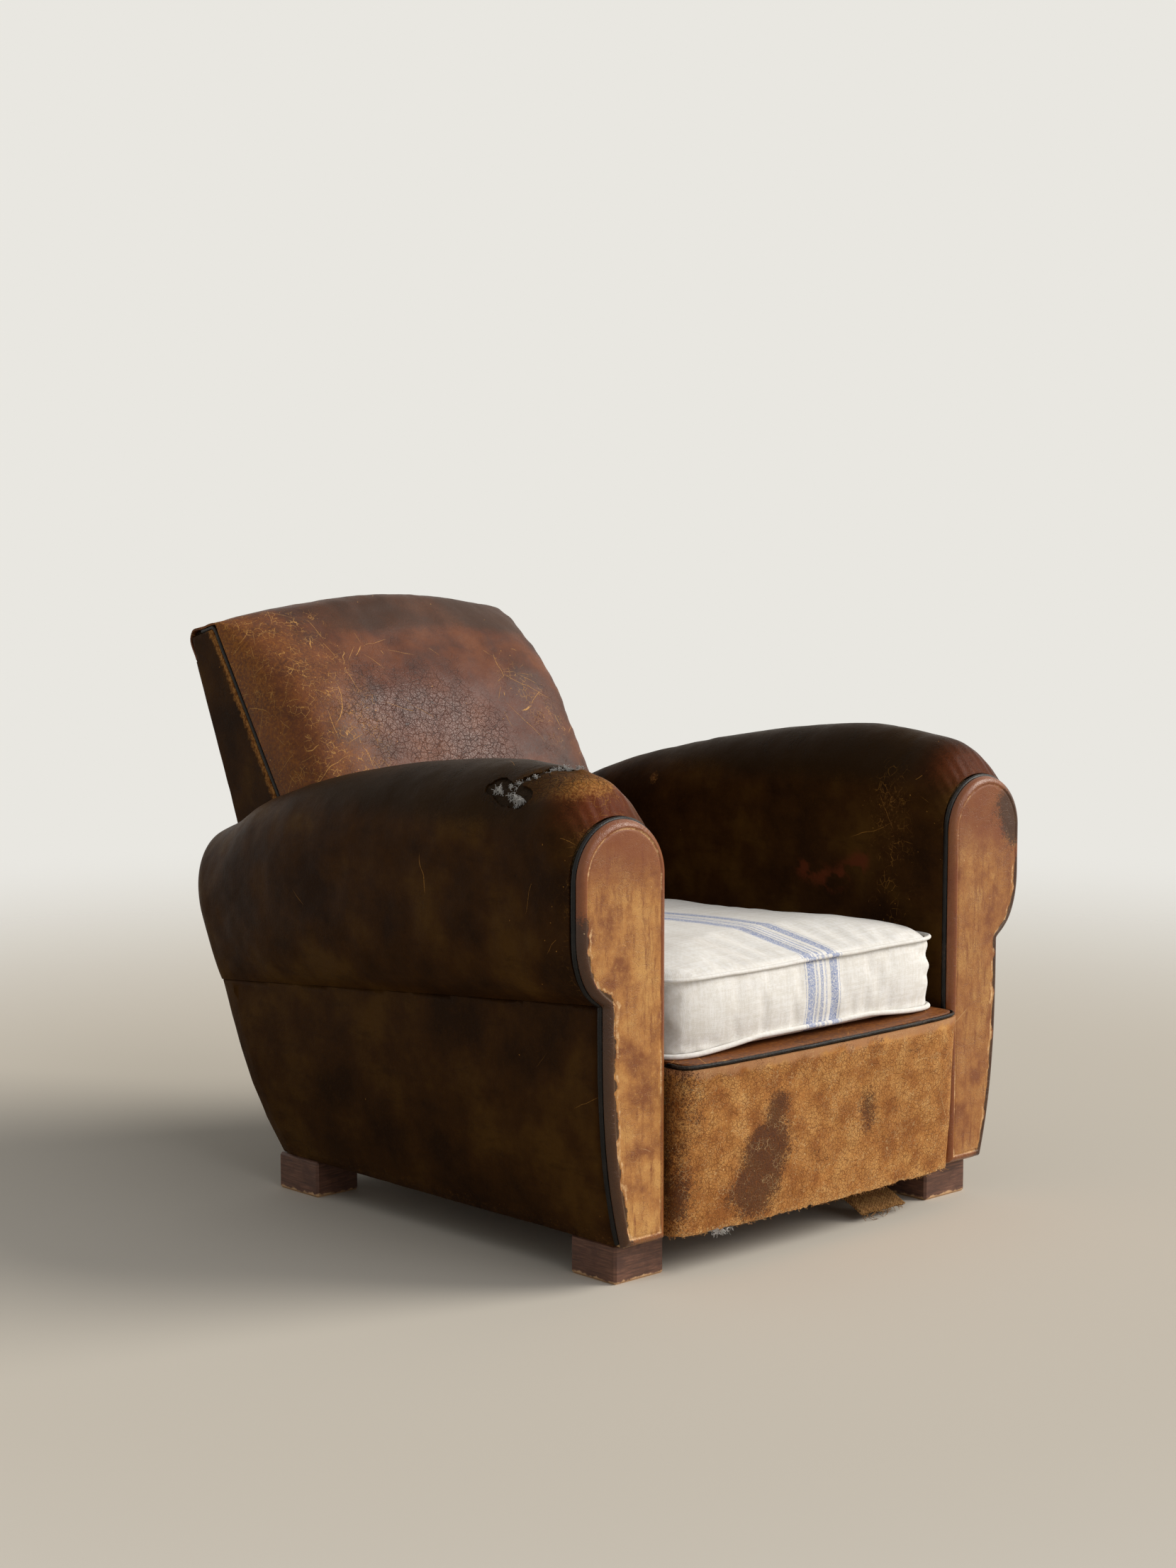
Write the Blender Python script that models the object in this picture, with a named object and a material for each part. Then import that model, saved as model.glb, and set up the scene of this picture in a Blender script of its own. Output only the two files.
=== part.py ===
"""Worn leather club chair with a loose striped linen seat cushion.

Metres, +Z up, the floor at z = 0 and the front facing -Y. Left and right are the sitter's:
right is -X. A beech frame on four block feet carries jute webbing, nine coil springs, hessian
and hair padding. Brown hide covers it, with dark piping round the arm fronts, the back and the
seat's front edge.
"""

import math

import bmesh
import bpy
import numpy as np
from mathutils import Vector

# Clearances and sheet thicknesses
GAP = 0.0003
HIDE = 0.003
FACING_THICKNESS = 0.004
HESSIAN = 0.0015
CORD_SIDES = 5
WIRE_SIDES = 4
HALF_ROUND = 1 - math.sqrt(0.5)

# Overall places: every depth is measured back from the face of the arm fronts
FACE_Y = -0.475
FOOT_HEIGHT = 0.050
FOOT_CHAMFER = 0.003
FRONT_FOOT_WIDTH = 0.084
FRONT_FOOT_DEPTH = 0.080
FRONT_FOOT_SETBACK = 0.025
REAR_FOOT_WIDTH = 0.072
REAR_FOOT_DEPTH = 0.085
FRONT_FOOT_INSIDE = 0.020
REAR_FOOT_REACH = 0.069

# The inner back leans along the line of its side piping, and the chair's rear is one raked plane
BACK_LINE_SETBACK = 0.774
BACK_LINE_HEIGHT = 0.528
BACK_LINE_RAKE = 0.636
BACK_TOP_Z = 0.764
BACK_TOP_THICKNESS = 0.065784
REAR_RAKE = 0.42


def back_line_setback(z):
    """How far behind the face the back's side piping is at a height."""
    return BACK_LINE_SETBACK + BACK_LINE_RAKE * (z - BACK_LINE_HEIGHT)


REAR_SETBACK = back_line_setback(BACK_TOP_Z) + BACK_TOP_THICKNESS - REAR_RAKE * (BACK_TOP_Z - FOOT_HEIGHT)

# Arms: their inner walls set the width of the seat, and every x of an arm is measured from its wall
ARM_INNER_X = 0.271
ARM_WIDTH = 0.151
ARM_SEAM_REACH = 0.100
ARM_OUTER_X = ARM_INNER_X + ARM_WIDTH
ARM_SEAM_X = ARM_INNER_X + ARM_SEAM_REACH
ARM_HEIGHT = 0.635
ARM_SEAM_FRONT_Z = 0.360
ARM_SEAM_REAR_Z = 0.292
ARM_WAIST = 0.37
SEAM_NOTCH = 0.008
SIDE_TAPER = 0.030
SIDE_TAPER_POWER = 3.0
ARM_REAR_LIP = 0.022
ARM_REAR_ROUND = 0.012
ARM_ROUND_START = 0.991

# Stations down the arm: share of the way back, crest below the arm's height, crest out from the
# inner wall, bulge inside the arm's outer x, then how far the outer and inner curves drop
ARM_STATIONS = (
    (0.000, 0.0555, 0.072, 0.004, 0.072, 0.068),
    (0.030, 0.024, 0.070, 0.002, 0.085, 0.078),
    (0.100, 0.006, 0.067, 0.000, 0.095, 0.084),
    (0.175, 0.000, 0.065, 0.000, 0.100, 0.086),
    (0.330, 0.011, 0.063, 0.001, 0.102, 0.084),
    (0.500, 0.034, 0.061, 0.004, 0.102, 0.080),
    (0.680, 0.068, 0.054, 0.012, 0.104, 0.070),
    (0.820, 0.104, 0.041, 0.024, 0.108, 0.055),
    (0.920, 0.136, 0.027, 0.037, 0.110, 0.040),
    (1.000, 0.156, 0.017, 0.046, 0.110, 0.030),
)
ARM_ROWS = (0.0, 0.018, 0.052, 0.10, 0.17, 0.29, 0.44, 0.60, 0.75, 0.87, 0.96)
PAD_FIRST_ROW = 2  # the padding starts behind the front post

# Arm fronts: hide-covered boards that stand proud of the rolls
PANEL_THICKNESS = 0.010
PANEL_TOP_Z = 0.576
PANEL_NARROWER = 0.0075
PANEL_OUTER_X = ARM_OUTER_X - PANEL_NARROWER
PANEL_ROUND = 0.007
PANEL_BOTTOM_Z = 0.0515
PIPING_RADIUS = 0.004
PIPING_PROUD = 0.0035

# Beech frame
POST_THICKNESS = 0.042
POST_INSET = 0.0055
REBATE_CLEARANCE = 0.0012
REAR_LAYERS = 0.0075
RAIL_HEIGHT = 0.080
RAIL_THICKNESS = 0.030
REAR_RAIL_INSET = 0.090
REAR_RAIL_SETBACK = REAR_SETBACK - REAR_RAIL_INSET
STUMP_REACH = 0.034
STUMP_INNER_X = ARM_INNER_X + STUMP_REACH
STUMP_WIDTH = 0.030
STUMP_DEPTH = 0.035
STUMP_REAR_CLEARANCE = 0.0045
STUMP_TOP_DROP = 0.012
ARM_RAIL_HEIGHT = 0.050
ARM_RAIL_FRONT_Z = 0.535
ARM_RAIL_REAR_Z = 0.435
BACK_POST_WIDTH = 0.0335
BACK_POST_TOP_Z = 0.728
BACK_RAIL_HEIGHT = 0.050
BACK_LOWER_RAIL_Z = 0.215

# Webbing, springs and hessian
STRAP_WIDTH = 0.088
STRAP_THICKNESS = 0.0015
STRAP_SPACING = 0.150
STRAP_ROWS = 3
FIRST_CROSS_STRAP = 0.165
STRAP_FLAT = 0.046
LOOSE_END_SETBACK = 0.012
LOOSE_END_HEIGHT = 0.010
LOOSE_END_CURL = 1.5
WIRE_RADIUS = 0.002
SPRING_END_RADIUS = 0.042
SPRING_WAIST_RADIUS = 0.027
SPRING_TURNS = 4
SPRING_STEPS = 7
SPRING_FLAT_TURN = 0.75
HESSIAN_TOP_Z = 0.2165
HESSIAN_TOP_HALF = ARM_INNER_X - 0.026
HESSIAN_FOOT_HALF = ARM_INNER_X - 0.0015
HESSIAN_FRONT_LEAN = 0.020

# Sprung seat and its front
SEAT_SIDE_CLEARANCE = 0.009
SEAT_HALF = ARM_INNER_X - SEAT_SIDE_CLEARANCE
DECK_Z = 0.268
DECK_REAR_CLEARANCE = 0.05414
DECK_REAR_SETBACK = back_line_setback(DECK_Z) - DECK_REAR_CLEARANCE
APRON_TOP_PROUD = 0.029
APRON_BOTTOM_PROUD = 0.012
APRON_BOW = 0.006
APRON_BOTTOM_Z = 0.052
APRON_CORNER_POWER = 0.25
APRON_REAR_SETBACK = 0.0215
FRONT_RAIL_CLEARANCE = 0.0008
FRONT_RAIL_SETBACK = APRON_REAR_SETBACK + FRONT_RAIL_CLEARANCE
FRONT_PIPING_RADIUS = 0.0035
FRONT_PIPING_SUNK = 0.0025
SEAT_EDGE = 0.0063
SEAT_SHOULDER = 0.0102

# Loose cushion
CUSHION_SIDE_CLEARANCE = 0.0105
CUSHION_HALF = ARM_INNER_X - CUSHION_SIDE_CLEARANCE
CUSHION_FRONT_SETBACK = 0.005
CUSHION_EDGE_Z = 0.367
CUSHION_REAR_CLEARANCE = 0.125604
CUSHION_REAR_SETBACK = back_line_setback(CUSHION_EDGE_Z) - CUSHION_REAR_CLEARANCE
CUSHION_CROWN = 0.026
CUSHION_CORNER_POWER = 0.19
CUSHION_FRONT_LIFT = 0.014
CUSHION_REAR_FALL = 0.022
CUSHION_SIDE_BULGE = 0.003
WELT_RADIUS = 0.0035

# The cushion's rings: a scale of its plan, and for the top a share of the crown
CUSHION_BASE_SCALES = (0.30, 0.80, 0.97)
CUSHION_TOP_RINGS = ((0.95, 0.40), (0.84, 0.72), (0.62, 0.92), (0.30, 1.0))

# Back
BACK_SIDE_CLEARANCE = 0.001
BACK_HALF = ARM_INNER_X - BACK_SIDE_CLEARANCE
BACK_REAR_TOP_Z = 0.750
BACK_EDGE_LIFT = 0.0062
BACK_PAD_DEPTH = 0.030
BACK_FACING_BOTTOM_Z = 0.400
BACK_COVER_REAR_Z = 0.715
BACK_PIPING_RADIUS = 0.003
BACK_PIPING_TURN = 0.55
OUTSIDE_BACK_EDGE_DROP = 0.006
OUTSIDE_BACK_CORNER = 0.024

# Stations up the back: height on the piping line, share of the turn onto the top, how far the
# middle stands ahead of the line and above it, and how far its width is arched rather than flat
BACK_STATIONS = (
    (0.271, 0.0, 0.049, 0.000, 0.0),
    (0.330, 0.0, 0.084, 0.000, 0.0),
    (0.400, 0.0, 0.108, 0.000, 0.0),
    (0.500, 0.0, 0.108, 0.000, 0.0),
    (0.600, 0.0, 0.115, 0.000, 0.0),
    (0.680, 0.0, 0.112, 0.002, 0.0),
    (0.722, 0.0, 0.088, 0.010, 0.1),
    (0.750, 0.0, 0.063, 0.024, 0.4),
    (0.764, 0.33, 0.046, 0.031, 0.8),
    (0.764, 0.67, 0.036, 0.034, 1.0),
    (0.764, 1.0, 0.026, 0.034, 1.0),
)
BACK_TOP_MIDDLE = (0.013, 0.027)
BACK_FLAT_POWERS = (8, 1 / 3)
BACK_ARCH_POWER = 1.6

SIDES = ((-1, "right"), (1, "left"))


def clear_scene():
    for obj in list(bpy.data.objects):
        bpy.data.objects.remove(obj, do_unlink=True)


def make_material(name, colour, roughness, metallic=0.0):
    material = bpy.data.materials.new(name)
    material.use_nodes = True
    shader = material.node_tree.nodes["Principled BSDF"]
    shader.inputs["Base Color"].default_value = (*colour, 1.0)
    shader.inputs["Roughness"].default_value = roughness
    shader.inputs["Metallic"].default_value = metallic
    return material


def add_solid(name, points, faces, material, smooth=True):
    """One closed body from points and faces, with its faces turned outwards."""
    mesh = bpy.data.meshes.new(name)
    shape = bmesh.new()
    verts = [shape.verts.new(point) for point in points]
    for face in faces:
        shape.faces.new([verts[index] for index in face])
    bmesh.ops.recalc_face_normals(shape, faces=shape.faces)
    shape.to_mesh(mesh)
    shape.free()
    if smooth:
        mesh.shade_smooth()
        mesh.set_sharp_from_angle(angle=math.radians(40))
    mesh.materials.append(material)
    obj = bpy.data.objects.new(name, mesh)
    bpy.context.scene.collection.objects.link(obj)
    return obj


def add_box(name, low, high, material, chamfer=0.0):
    """A squared timber or pad between two corners."""
    points = [(x, y, z) for z in (low[2], high[2]) for y in (low[1], high[1]) for x in (low[0], high[0])]
    faces = ((0, 1, 3, 2), (4, 6, 7, 5), (0, 4, 5, 1), (2, 3, 7, 6), (0, 2, 6, 4), (1, 5, 7, 3))
    obj = add_solid(name, points, faces, material, smooth=False)
    if chamfer:
        bevel = obj.modifiers.new("chamfer", "BEVEL")
        bevel.width = chamfer
        bevel.segments = 1
    return obj


def add_loft(name, rings, material, smooth=True, closed_path=False):
    """Closed rings joined in turn, capped at both ends unless the path closes on itself."""
    count = len(rings[0])
    points = [point for ring in rings for point in ring]
    faces = []
    spans = len(rings) if closed_path else len(rings) - 1
    for row in range(spans):
        here = row * count
        there = ((row + 1) % len(rings)) * count
        for index in range(count):
            after = (index + 1) % count
            faces.append((here + index, here + after, there + after, there + index))
    if not closed_path:
        faces.append(tuple(reversed(range(count))))
        faces.append(tuple(len(points) - count + index for index in range(count)))
    return add_solid(name, points, faces, material, smooth)


def add_skin(name, outer, inner, material):
    """A closed body between two grids of points with the same rows and columns.

    Both grids are cut into triangles the same way, so a pad stays parallel to the skin over it.
    """
    rows, columns = outer.shape[:2]
    points = [tuple(point) for grid in (outer, inner) for line in grid for point in line]
    far = rows * columns
    faces = []
    for row in range(rows - 1):
        for column in range(columns - 1):
            a = row * columns + column
            b, c, d = a + 1, a + columns + 1, a + columns
            for triangle in ((a, b, c), (a, c, d)):
                faces.append(triangle)
                faces.append(tuple(far + index for index in reversed(triangle)))
    edge = [column for column in range(columns)]
    edge += [row * columns + columns - 1 for row in range(1, rows)]
    edge += [(rows - 1) * columns + column for column in reversed(range(columns - 1))]
    edge += [row * columns for row in reversed(range(1, rows - 1))]
    for index, a in enumerate(edge):
        b = edge[(index + 1) % len(edge)]
        faces.append((b, a, far + a, far + b))
    return add_solid(name, points, faces, material)


def add_tube(name, path, radius, material, sides=CORD_SIDES, closed=False):
    """A round cord swept along a path of points, with flat ends."""
    path = [Vector(point) for point in path]
    count = len(path)
    tangents = []
    for index in range(count):
        if closed:
            step = path[(index + 1) % count] - path[index - 1]
        else:
            step = path[min(index + 1, count - 1)] - path[max(index - 1, 0)]
        tangents.append(step.normalized())
    side = tangents[0].orthogonal().normalized()
    rings = []
    for point, tangent in zip(path, tangents):
        side = (side - tangent * side.dot(tangent)).normalized()
        other = tangent.cross(side)
        ring = []
        for step in range(sides):
            angle = 2 * math.pi * step / sides
            ring.append(point + radius * (math.cos(angle) * side + math.sin(angle) * other))
        rings.append(ring)
    return add_loft(name, rings, material, closed_path=closed)


def inset(grid, depth):
    """The grid moved inwards by a depth along its own normals, with corners kept to thickness."""
    rows, columns = grid.shape[:2]
    across = grid[:-1, 1:] - grid[1:, :-1]
    along = grid[1:, 1:] - grid[:-1, :-1]
    normals = np.cross(across, along)
    normals /= np.linalg.norm(normals, axis=2, keepdims=True)
    moved = np.empty_like(grid)
    for row in range(rows):
        for column in range(columns):
            near = normals[max(row - 1, 0):row + 1, max(column - 1, 0):column + 1].reshape(-1, 3)
            mean = near.mean(axis=0)
            mean /= np.linalg.norm(mean)
            spread = max((near @ mean).min(), 0.5)
            moved[row, column] = grid[row, column] - mean * depth / spread
    return moved


def interpolate(stations, share):
    """Smooth values between stations, each a share of the way and then its values."""
    table = np.array(stations)
    shares = table[:, 0]
    index = int(np.clip(np.searchsorted(shares, share) - 1, 0, len(shares) - 2))
    slopes = np.gradient(table[:, 1:], shares, axis=0)
    length = shares[index + 1] - shares[index]
    t = (share - shares[index]) / length
    start, end = table[index, 1:], table[index + 1, 1:]
    return (
        (2 * t**3 - 3 * t**2 + 1) * start
        + (t**3 - 2 * t**2 + t) * length * slopes[index]
        + (3 * t**2 - 2 * t**3) * end
        + (t**3 - t**2) * length * slopes[index + 1]
    )


def quarter(centre, start, end, steps):
    """Points of a quarter ellipse from start to end, both ends included."""
    angles = np.linspace(0.0, math.pi / 2, steps + 1)
    centre, start, end = np.array(centre), np.array(start), np.array(end)
    return [tuple(centre + (start - centre) * math.cos(a) + (end - centre) * math.sin(a)) for a in angles]


def depth(setback):
    """The y that lies this far behind the face of the arm fronts."""
    return FACE_Y + setback


def rear_y(z, inside=0.0):
    """The chair's raked rear plane, or a plane this far in front of it."""
    return depth(REAR_SETBACK + REAR_RAKE * (z - FOOT_HEIGHT) - inside)


def back_line_y(z, behind=0.0):
    """The line of the back's side piping, or a plane this far behind it."""
    return depth(back_line_setback(z) + behind)


def rail_base():
    return FOOT_HEIGHT + GAP


def rail_top():
    return rail_base() + RAIL_HEIGHT


def post_back():
    """How far back the space behind the front posts starts."""
    return PANEL_THICKNESS + GAP + POST_THICKNESS + GAP


def offset_outline(outline, distance):
    """An open (x, z) outline moved to its right-hand side by a distance."""
    points = np.array(outline)
    steps = np.diff(points, axis=0)
    steps /= np.linalg.norm(steps, axis=1, keepdims=True)
    sides = np.stack([steps[:, 1], -steps[:, 0]], axis=1)
    before = np.vstack([sides[:1], sides])
    after = np.vstack([sides, sides[-1:]])
    mean = before + after
    mean /= np.linalg.norm(mean, axis=1, keepdims=True)
    spread = np.maximum((mean * before).sum(axis=1, keepdims=True), 0.5)
    return points + mean * distance / spread


def arm_outline(share, foot_z, arc_steps=4):
    """The roll's (x, z) outline from the inner wall's foot, over the crest, to the outer seam."""
    drop, crest_reach, narrow, outer_drop, inner_drop = interpolate(ARM_STATIONS, share)
    crest_x = ARM_INNER_X + crest_reach
    crest_z = ARM_HEIGHT - drop
    outer_x = ARM_OUTER_X - narrow
    seam_z = arm_seam_z(share)
    waist_z = seam_z + (crest_z - seam_z) * ARM_WAIST
    shoulder_z = crest_z - inner_drop
    outer_z = crest_z - outer_drop
    points = [(ARM_INNER_X, foot_z), (ARM_INNER_X, (foot_z + shoulder_z) / 2)]
    points += quarter((crest_x, shoulder_z), (ARM_INNER_X, shoulder_z), (crest_x, crest_z), arc_steps)
    points += quarter((crest_x, outer_z), (crest_x, crest_z), (outer_x, outer_z), arc_steps)[1:]
    return points + waist_curve(outer_x, waist_z, seam_z, arc_steps)


def waist_curve(outer_x, waist_z, seam_z, arc_steps):
    """The roll's underside, from its widest point in to the seam, with a softened notch."""
    curve = quarter((ARM_SEAM_X, waist_z), (outer_x, waist_z), (ARM_SEAM_X, seam_z), arc_steps)
    return curve[:-1] + [(ARM_SEAM_X, seam_z - SEAM_NOTCH)]


def arm_seam_z(share):
    """The middle of the seam's notch."""
    return ARM_SEAM_FRONT_Z + (ARM_SEAM_REAR_Z - ARM_SEAM_FRONT_Z) * share


def side_top_z(share):
    """Where the side below the roll starts."""
    return arm_seam_z(share) - SEAM_NOTCH - GAP


def arm_y(share, z, inside=HIDE + GAP):
    """The y this share of the way from the front piping to the raked rear."""
    start = depth(PANEL_THICKNESS + 2 * PIPING_RADIUS + 2 * GAP)
    return start + share * (rear_y(z, inside) - start)


def rear_lip(outline_at):
    """Rows that round an outline over the rear edge and turn it in across the rear."""
    rows = []
    for turned, share in (
        (ARM_REAR_ROUND * HALF_ROUND, ARM_ROUND_START), (ARM_REAR_ROUND, 1.0), (ARM_REAR_LIP, 1.0)
    ):
        rows.append((share, offset_outline(outline_at, turned)))
    return rows


def arm_grid(side, foot_z):
    """The outer surface of one arm's roll, with its rear lip."""
    rows = [(share, arm_outline(share, foot_z)) for share in ARM_ROWS]
    rows += rear_lip(arm_outline(1.0, foot_z))
    return np.array([[(side * x, arm_y(share, z), max(z, foot_z)) for x, z in line] for share, line in rows])


def side_outline(top_z, bottom_z, steps=5):
    """The side below the roll, which tucks in towards the foot."""
    points = []
    for step in range(steps + 1):
        z = top_z + (bottom_z - top_z) * step / steps
        sunk = SIDE_TAPER * ((top_z - z) / (top_z - bottom_z)) ** SIDE_TAPER_POWER
        points.append((ARM_SEAM_X - sunk, z))
    return points


def panel_outline(arc_steps=6):
    """The arm front's (x, z) outline: inner edge, round head, waist and tapered foot."""
    radius = (PANEL_OUTER_X - ARM_INNER_X) / 2
    middle_x = ARM_INNER_X + radius
    shoulder_z = PANEL_TOP_Z - radius
    waist_z = ARM_SEAM_FRONT_Z + (PANEL_TOP_Z - ARM_SEAM_FRONT_Z) * ARM_WAIST
    centre = (middle_x, shoulder_z)
    points = [(ARM_INNER_X, PANEL_BOTTOM_Z)]
    points += quarter(centre, (ARM_INNER_X, shoulder_z), (middle_x, PANEL_TOP_Z), arc_steps)
    points += quarter(centre, (middle_x, PANEL_TOP_Z), (PANEL_OUTER_X, shoulder_z), arc_steps)[1:]
    points += waist_curve(PANEL_OUTER_X, waist_z, ARM_SEAM_FRONT_Z, arc_steps)
    return points + side_outline(ARM_SEAM_FRONT_Z - SEAM_NOTCH, PANEL_BOTTOM_Z)[1:]


def ringed(outline, side, y, foot_z):
    """One closed ring of an arm board at a depth, with its foot at a height."""
    ring = [(side * x, y, z) for x, z in outline]
    ring[0] = (ring[0][0], y, foot_z)
    ring[-1] = (ring[-1][0], y, foot_z)
    return ring


def build_arm_front(side, name, hide, cord):
    """The hide-covered board on the front of an arm, and the piping behind its edge."""
    outline = panel_outline()
    rings = []
    for sunk, back in (
        (0.0, PANEL_THICKNESS), (0.0, PANEL_ROUND), (HALF_ROUND, PANEL_ROUND * HALF_ROUND), (1.0, 0.0)
    ):
        inward = sunk * PANEL_ROUND
        rings.append(ringed(offset_outline(outline, inward), side, depth(back), PANEL_BOTTOM_Z + inward))
    add_loft(f"arm_front_{name}", rings, hide)

    route = offset_outline(outline, PIPING_RADIUS - PIPING_PROUD)
    route[0, 1] = rail_top() + GAP
    y = depth(PANEL_THICKNESS + GAP + PIPING_RADIUS)
    add_tube(f"arm_piping_{name}", [(side * x, y, z) for x, z in route], PIPING_RADIUS, cord)


def build_front_post(side, name, beech):
    """The shaped board behind the arm front, rebated for the piping."""
    outline = panel_outline()
    front = depth(PANEL_THICKNESS + GAP)
    step = front + 2 * PIPING_RADIUS + GAP
    rebate = 2 * PIPING_RADIUS - PIPING_PROUD + REBATE_CLEARANCE
    rings = []
    for inward, y in (
        (rebate, front), (rebate, step - GAP), (POST_INSET, step), (POST_INSET, front + POST_THICKNESS)
    ):
        rings.append(ringed(offset_outline(outline, inward), side, y, rail_base()))
    add_loft(f"front_post_{name}", rings, beech, smooth=False)


def arm_rail_top(y):
    """The top of the sloping arm rail at a depth."""
    start = depth(post_back())
    end = rear_y(ARM_RAIL_REAR_Z, REAR_LAYERS + STUMP_DEPTH)
    return ARM_RAIL_FRONT_Z + (ARM_RAIL_REAR_Z - ARM_RAIL_FRONT_Z) * (y - start) / (end - start)


def slot_line(count, foot_z, seam_z, y_of_z, rail_z):
    """The padding's inner line: up one side of the arm rail, over it and down the other side."""
    low_x = STUMP_INNER_X - GAP
    high_x = STUMP_INNER_X + STUMP_WIDTH + GAP
    up = 5
    down = 7
    points = []
    for index in range(count):
        if index <= up:
            x = low_x
            z = foot_z + (rail_z - foot_z) * index / up
        elif index < down:
            x = (low_x + high_x) / 2
            z = rail_z
        else:
            x = high_x
            z = rail_z + (seam_z - rail_z) * (index - down) / (count - 1 - down)
        points.append((x, y_of_z(z), z))
    return points


def build_arm(side, name, hide, hair):
    """The roll's hide and the hair padding inside it, hollow where the arm rail and stump stand."""
    foot_z = rail_top() + GAP
    outer = arm_grid(1, foot_z)
    cover_inner = inset(outer, HIDE)
    pad_outer = inset(outer, HIDE + GAP)[PAD_FIRST_ROW:-2]
    shares = ARM_ROWS[PAD_FIRST_ROW:] + (ARM_ROUND_START,)
    pad_inner = []
    for share, row in zip(shares, pad_outer):
        def y_of_z(z, share=share):
            return arm_y(share, z, 2 * (HIDE + GAP))
        rail_z = arm_rail_top(y_of_z(ARM_RAIL_REAR_Z)) + GAP
        pad_inner.append(slot_line(len(row), foot_z, arm_seam_z(share) + HIDE, y_of_z, rail_z))
    mirror = np.array([side, 1, 1])
    add_skin(f"arm_cover_{name}", outer * mirror, cover_inner * mirror, hide)
    add_skin(f"arm_padding_{name}", pad_outer * mirror, np.array(pad_inner) * mirror, hair)


def build_side_panel(side, name, hide):
    """The hide side below the roll, from its seam to the bottom, with the rear edge turned in."""
    rows = [(share, side_outline(side_top_z(share), PANEL_BOTTOM_Z)) for share in ARM_ROWS[::2]]
    rows += rear_lip(side_outline(side_top_z(1.0), PANEL_BOTTOM_Z))
    grid = np.array([[(x, arm_y(share, z), z) for x, z in line] for share, line in rows])
    mirror = np.array([side, 1, 1])
    add_skin(f"side_panel_{name}", grid * mirror, inset(grid, HIDE) * mirror, hide)


def extrude_side(name, profile, low_x, high_x, material, smooth=False):
    """A (y, z) profile extruded across the chair between two x places."""
    rings = [[(x, y, z) for y, z in profile] for x in (low_x, high_x)]
    return add_loft(name, rings, material, smooth)


def build_frame(beech):
    """Rails, raked back posts and arm stumps of squared beech."""
    base, top = rail_base(), rail_top()
    rail_half = ARM_INNER_X + POST_INSET - GAP
    front = depth(FRONT_RAIL_SETBACK)
    add_box("front_rail", (-rail_half, front, base), (rail_half, front + RAIL_THICKNESS, top), beech)
    post_outer = BACK_HALF - FACING_THICKNESS - GAP
    post_inner = post_outer - BACK_POST_WIDTH
    add_box(
        "rear_rail",
        (GAP - post_inner, depth(REAR_RAIL_SETBACK), base),
        (post_inner - GAP, depth(REAR_RAIL_SETBACK + RAIL_THICKNESS), top),
        beech,
    )
    for name, low_z, height in (
        ("back_lower_rail", BACK_LOWER_RAIL_Z, BACK_RAIL_HEIGHT),
        ("back_top_rail", BACK_POST_TOP_Z - BACK_RAIL_HEIGHT, BACK_RAIL_HEIGHT),
    ):
        high_z = low_z + height
        reach = min(RAIL_THICKNESS, rear_y(high_z, REAR_LAYERS) - back_line_y(high_z, post_front()))
        profile = [(back_line_y(z, post_front() + far * reach), z) for far, z in
                   ((0, low_z), (1, low_z), (1, high_z), (0, high_z))]
        extrude_side(name, profile, GAP - post_inner, post_inner - GAP, beech)
    for side, name in SIDES:
        profile = [
            (back_line_y(base, post_front()), base),
            (rear_y(base, REAR_LAYERS), base),
            (rear_y(BACK_POST_TOP_Z, REAR_LAYERS), BACK_POST_TOP_Z),
            (back_line_y(BACK_POST_TOP_Z, post_front()), BACK_POST_TOP_Z),
        ]
        extrude_side(f"back_post_{name}", profile, side * post_inner, side * post_outer, beech)

        profile = [
            (depth(post_back()), base),
            (rear_y(base, REAR_LAYERS), base),
            (rear_y(top, REAR_LAYERS), top),
            (depth(post_back()), top),
        ]
        rail_inner = post_outer + GAP
        extrude_side(f"side_rail_{name}", profile, side * rail_inner, side * (STUMP_INNER_X - GAP), beech)

        stump_top = ARM_RAIL_REAR_Z - STUMP_TOP_DROP
        stump_x = (side * STUMP_INNER_X, side * (STUMP_INNER_X + STUMP_WIDTH))
        stump_rear = REAR_LAYERS + STUMP_REAR_CLEARANCE
        profile = [
            (rear_y(base, REAR_LAYERS + STUMP_DEPTH), base),
            (rear_y(base, stump_rear), base),
            (rear_y(stump_top, stump_rear), stump_top),
            (rear_y(stump_top, REAR_LAYERS + STUMP_DEPTH), stump_top),
        ]
        extrude_side(f"arm_stump_{name}", profile, *stump_x, beech)

        rear_low = ARM_RAIL_REAR_Z - ARM_RAIL_HEIGHT
        profile = [
            (depth(post_back()), ARM_RAIL_FRONT_Z - ARM_RAIL_HEIGHT),
            (rear_y(rear_low, REAR_LAYERS + STUMP_DEPTH + GAP), rear_low),
            (rear_y(ARM_RAIL_REAR_Z, REAR_LAYERS + STUMP_DEPTH + GAP), ARM_RAIL_REAR_Z),
            (depth(post_back()), ARM_RAIL_FRONT_Z),
        ]
        extrude_side(f"arm_rail_{name}", profile, *stump_x, beech)


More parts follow.
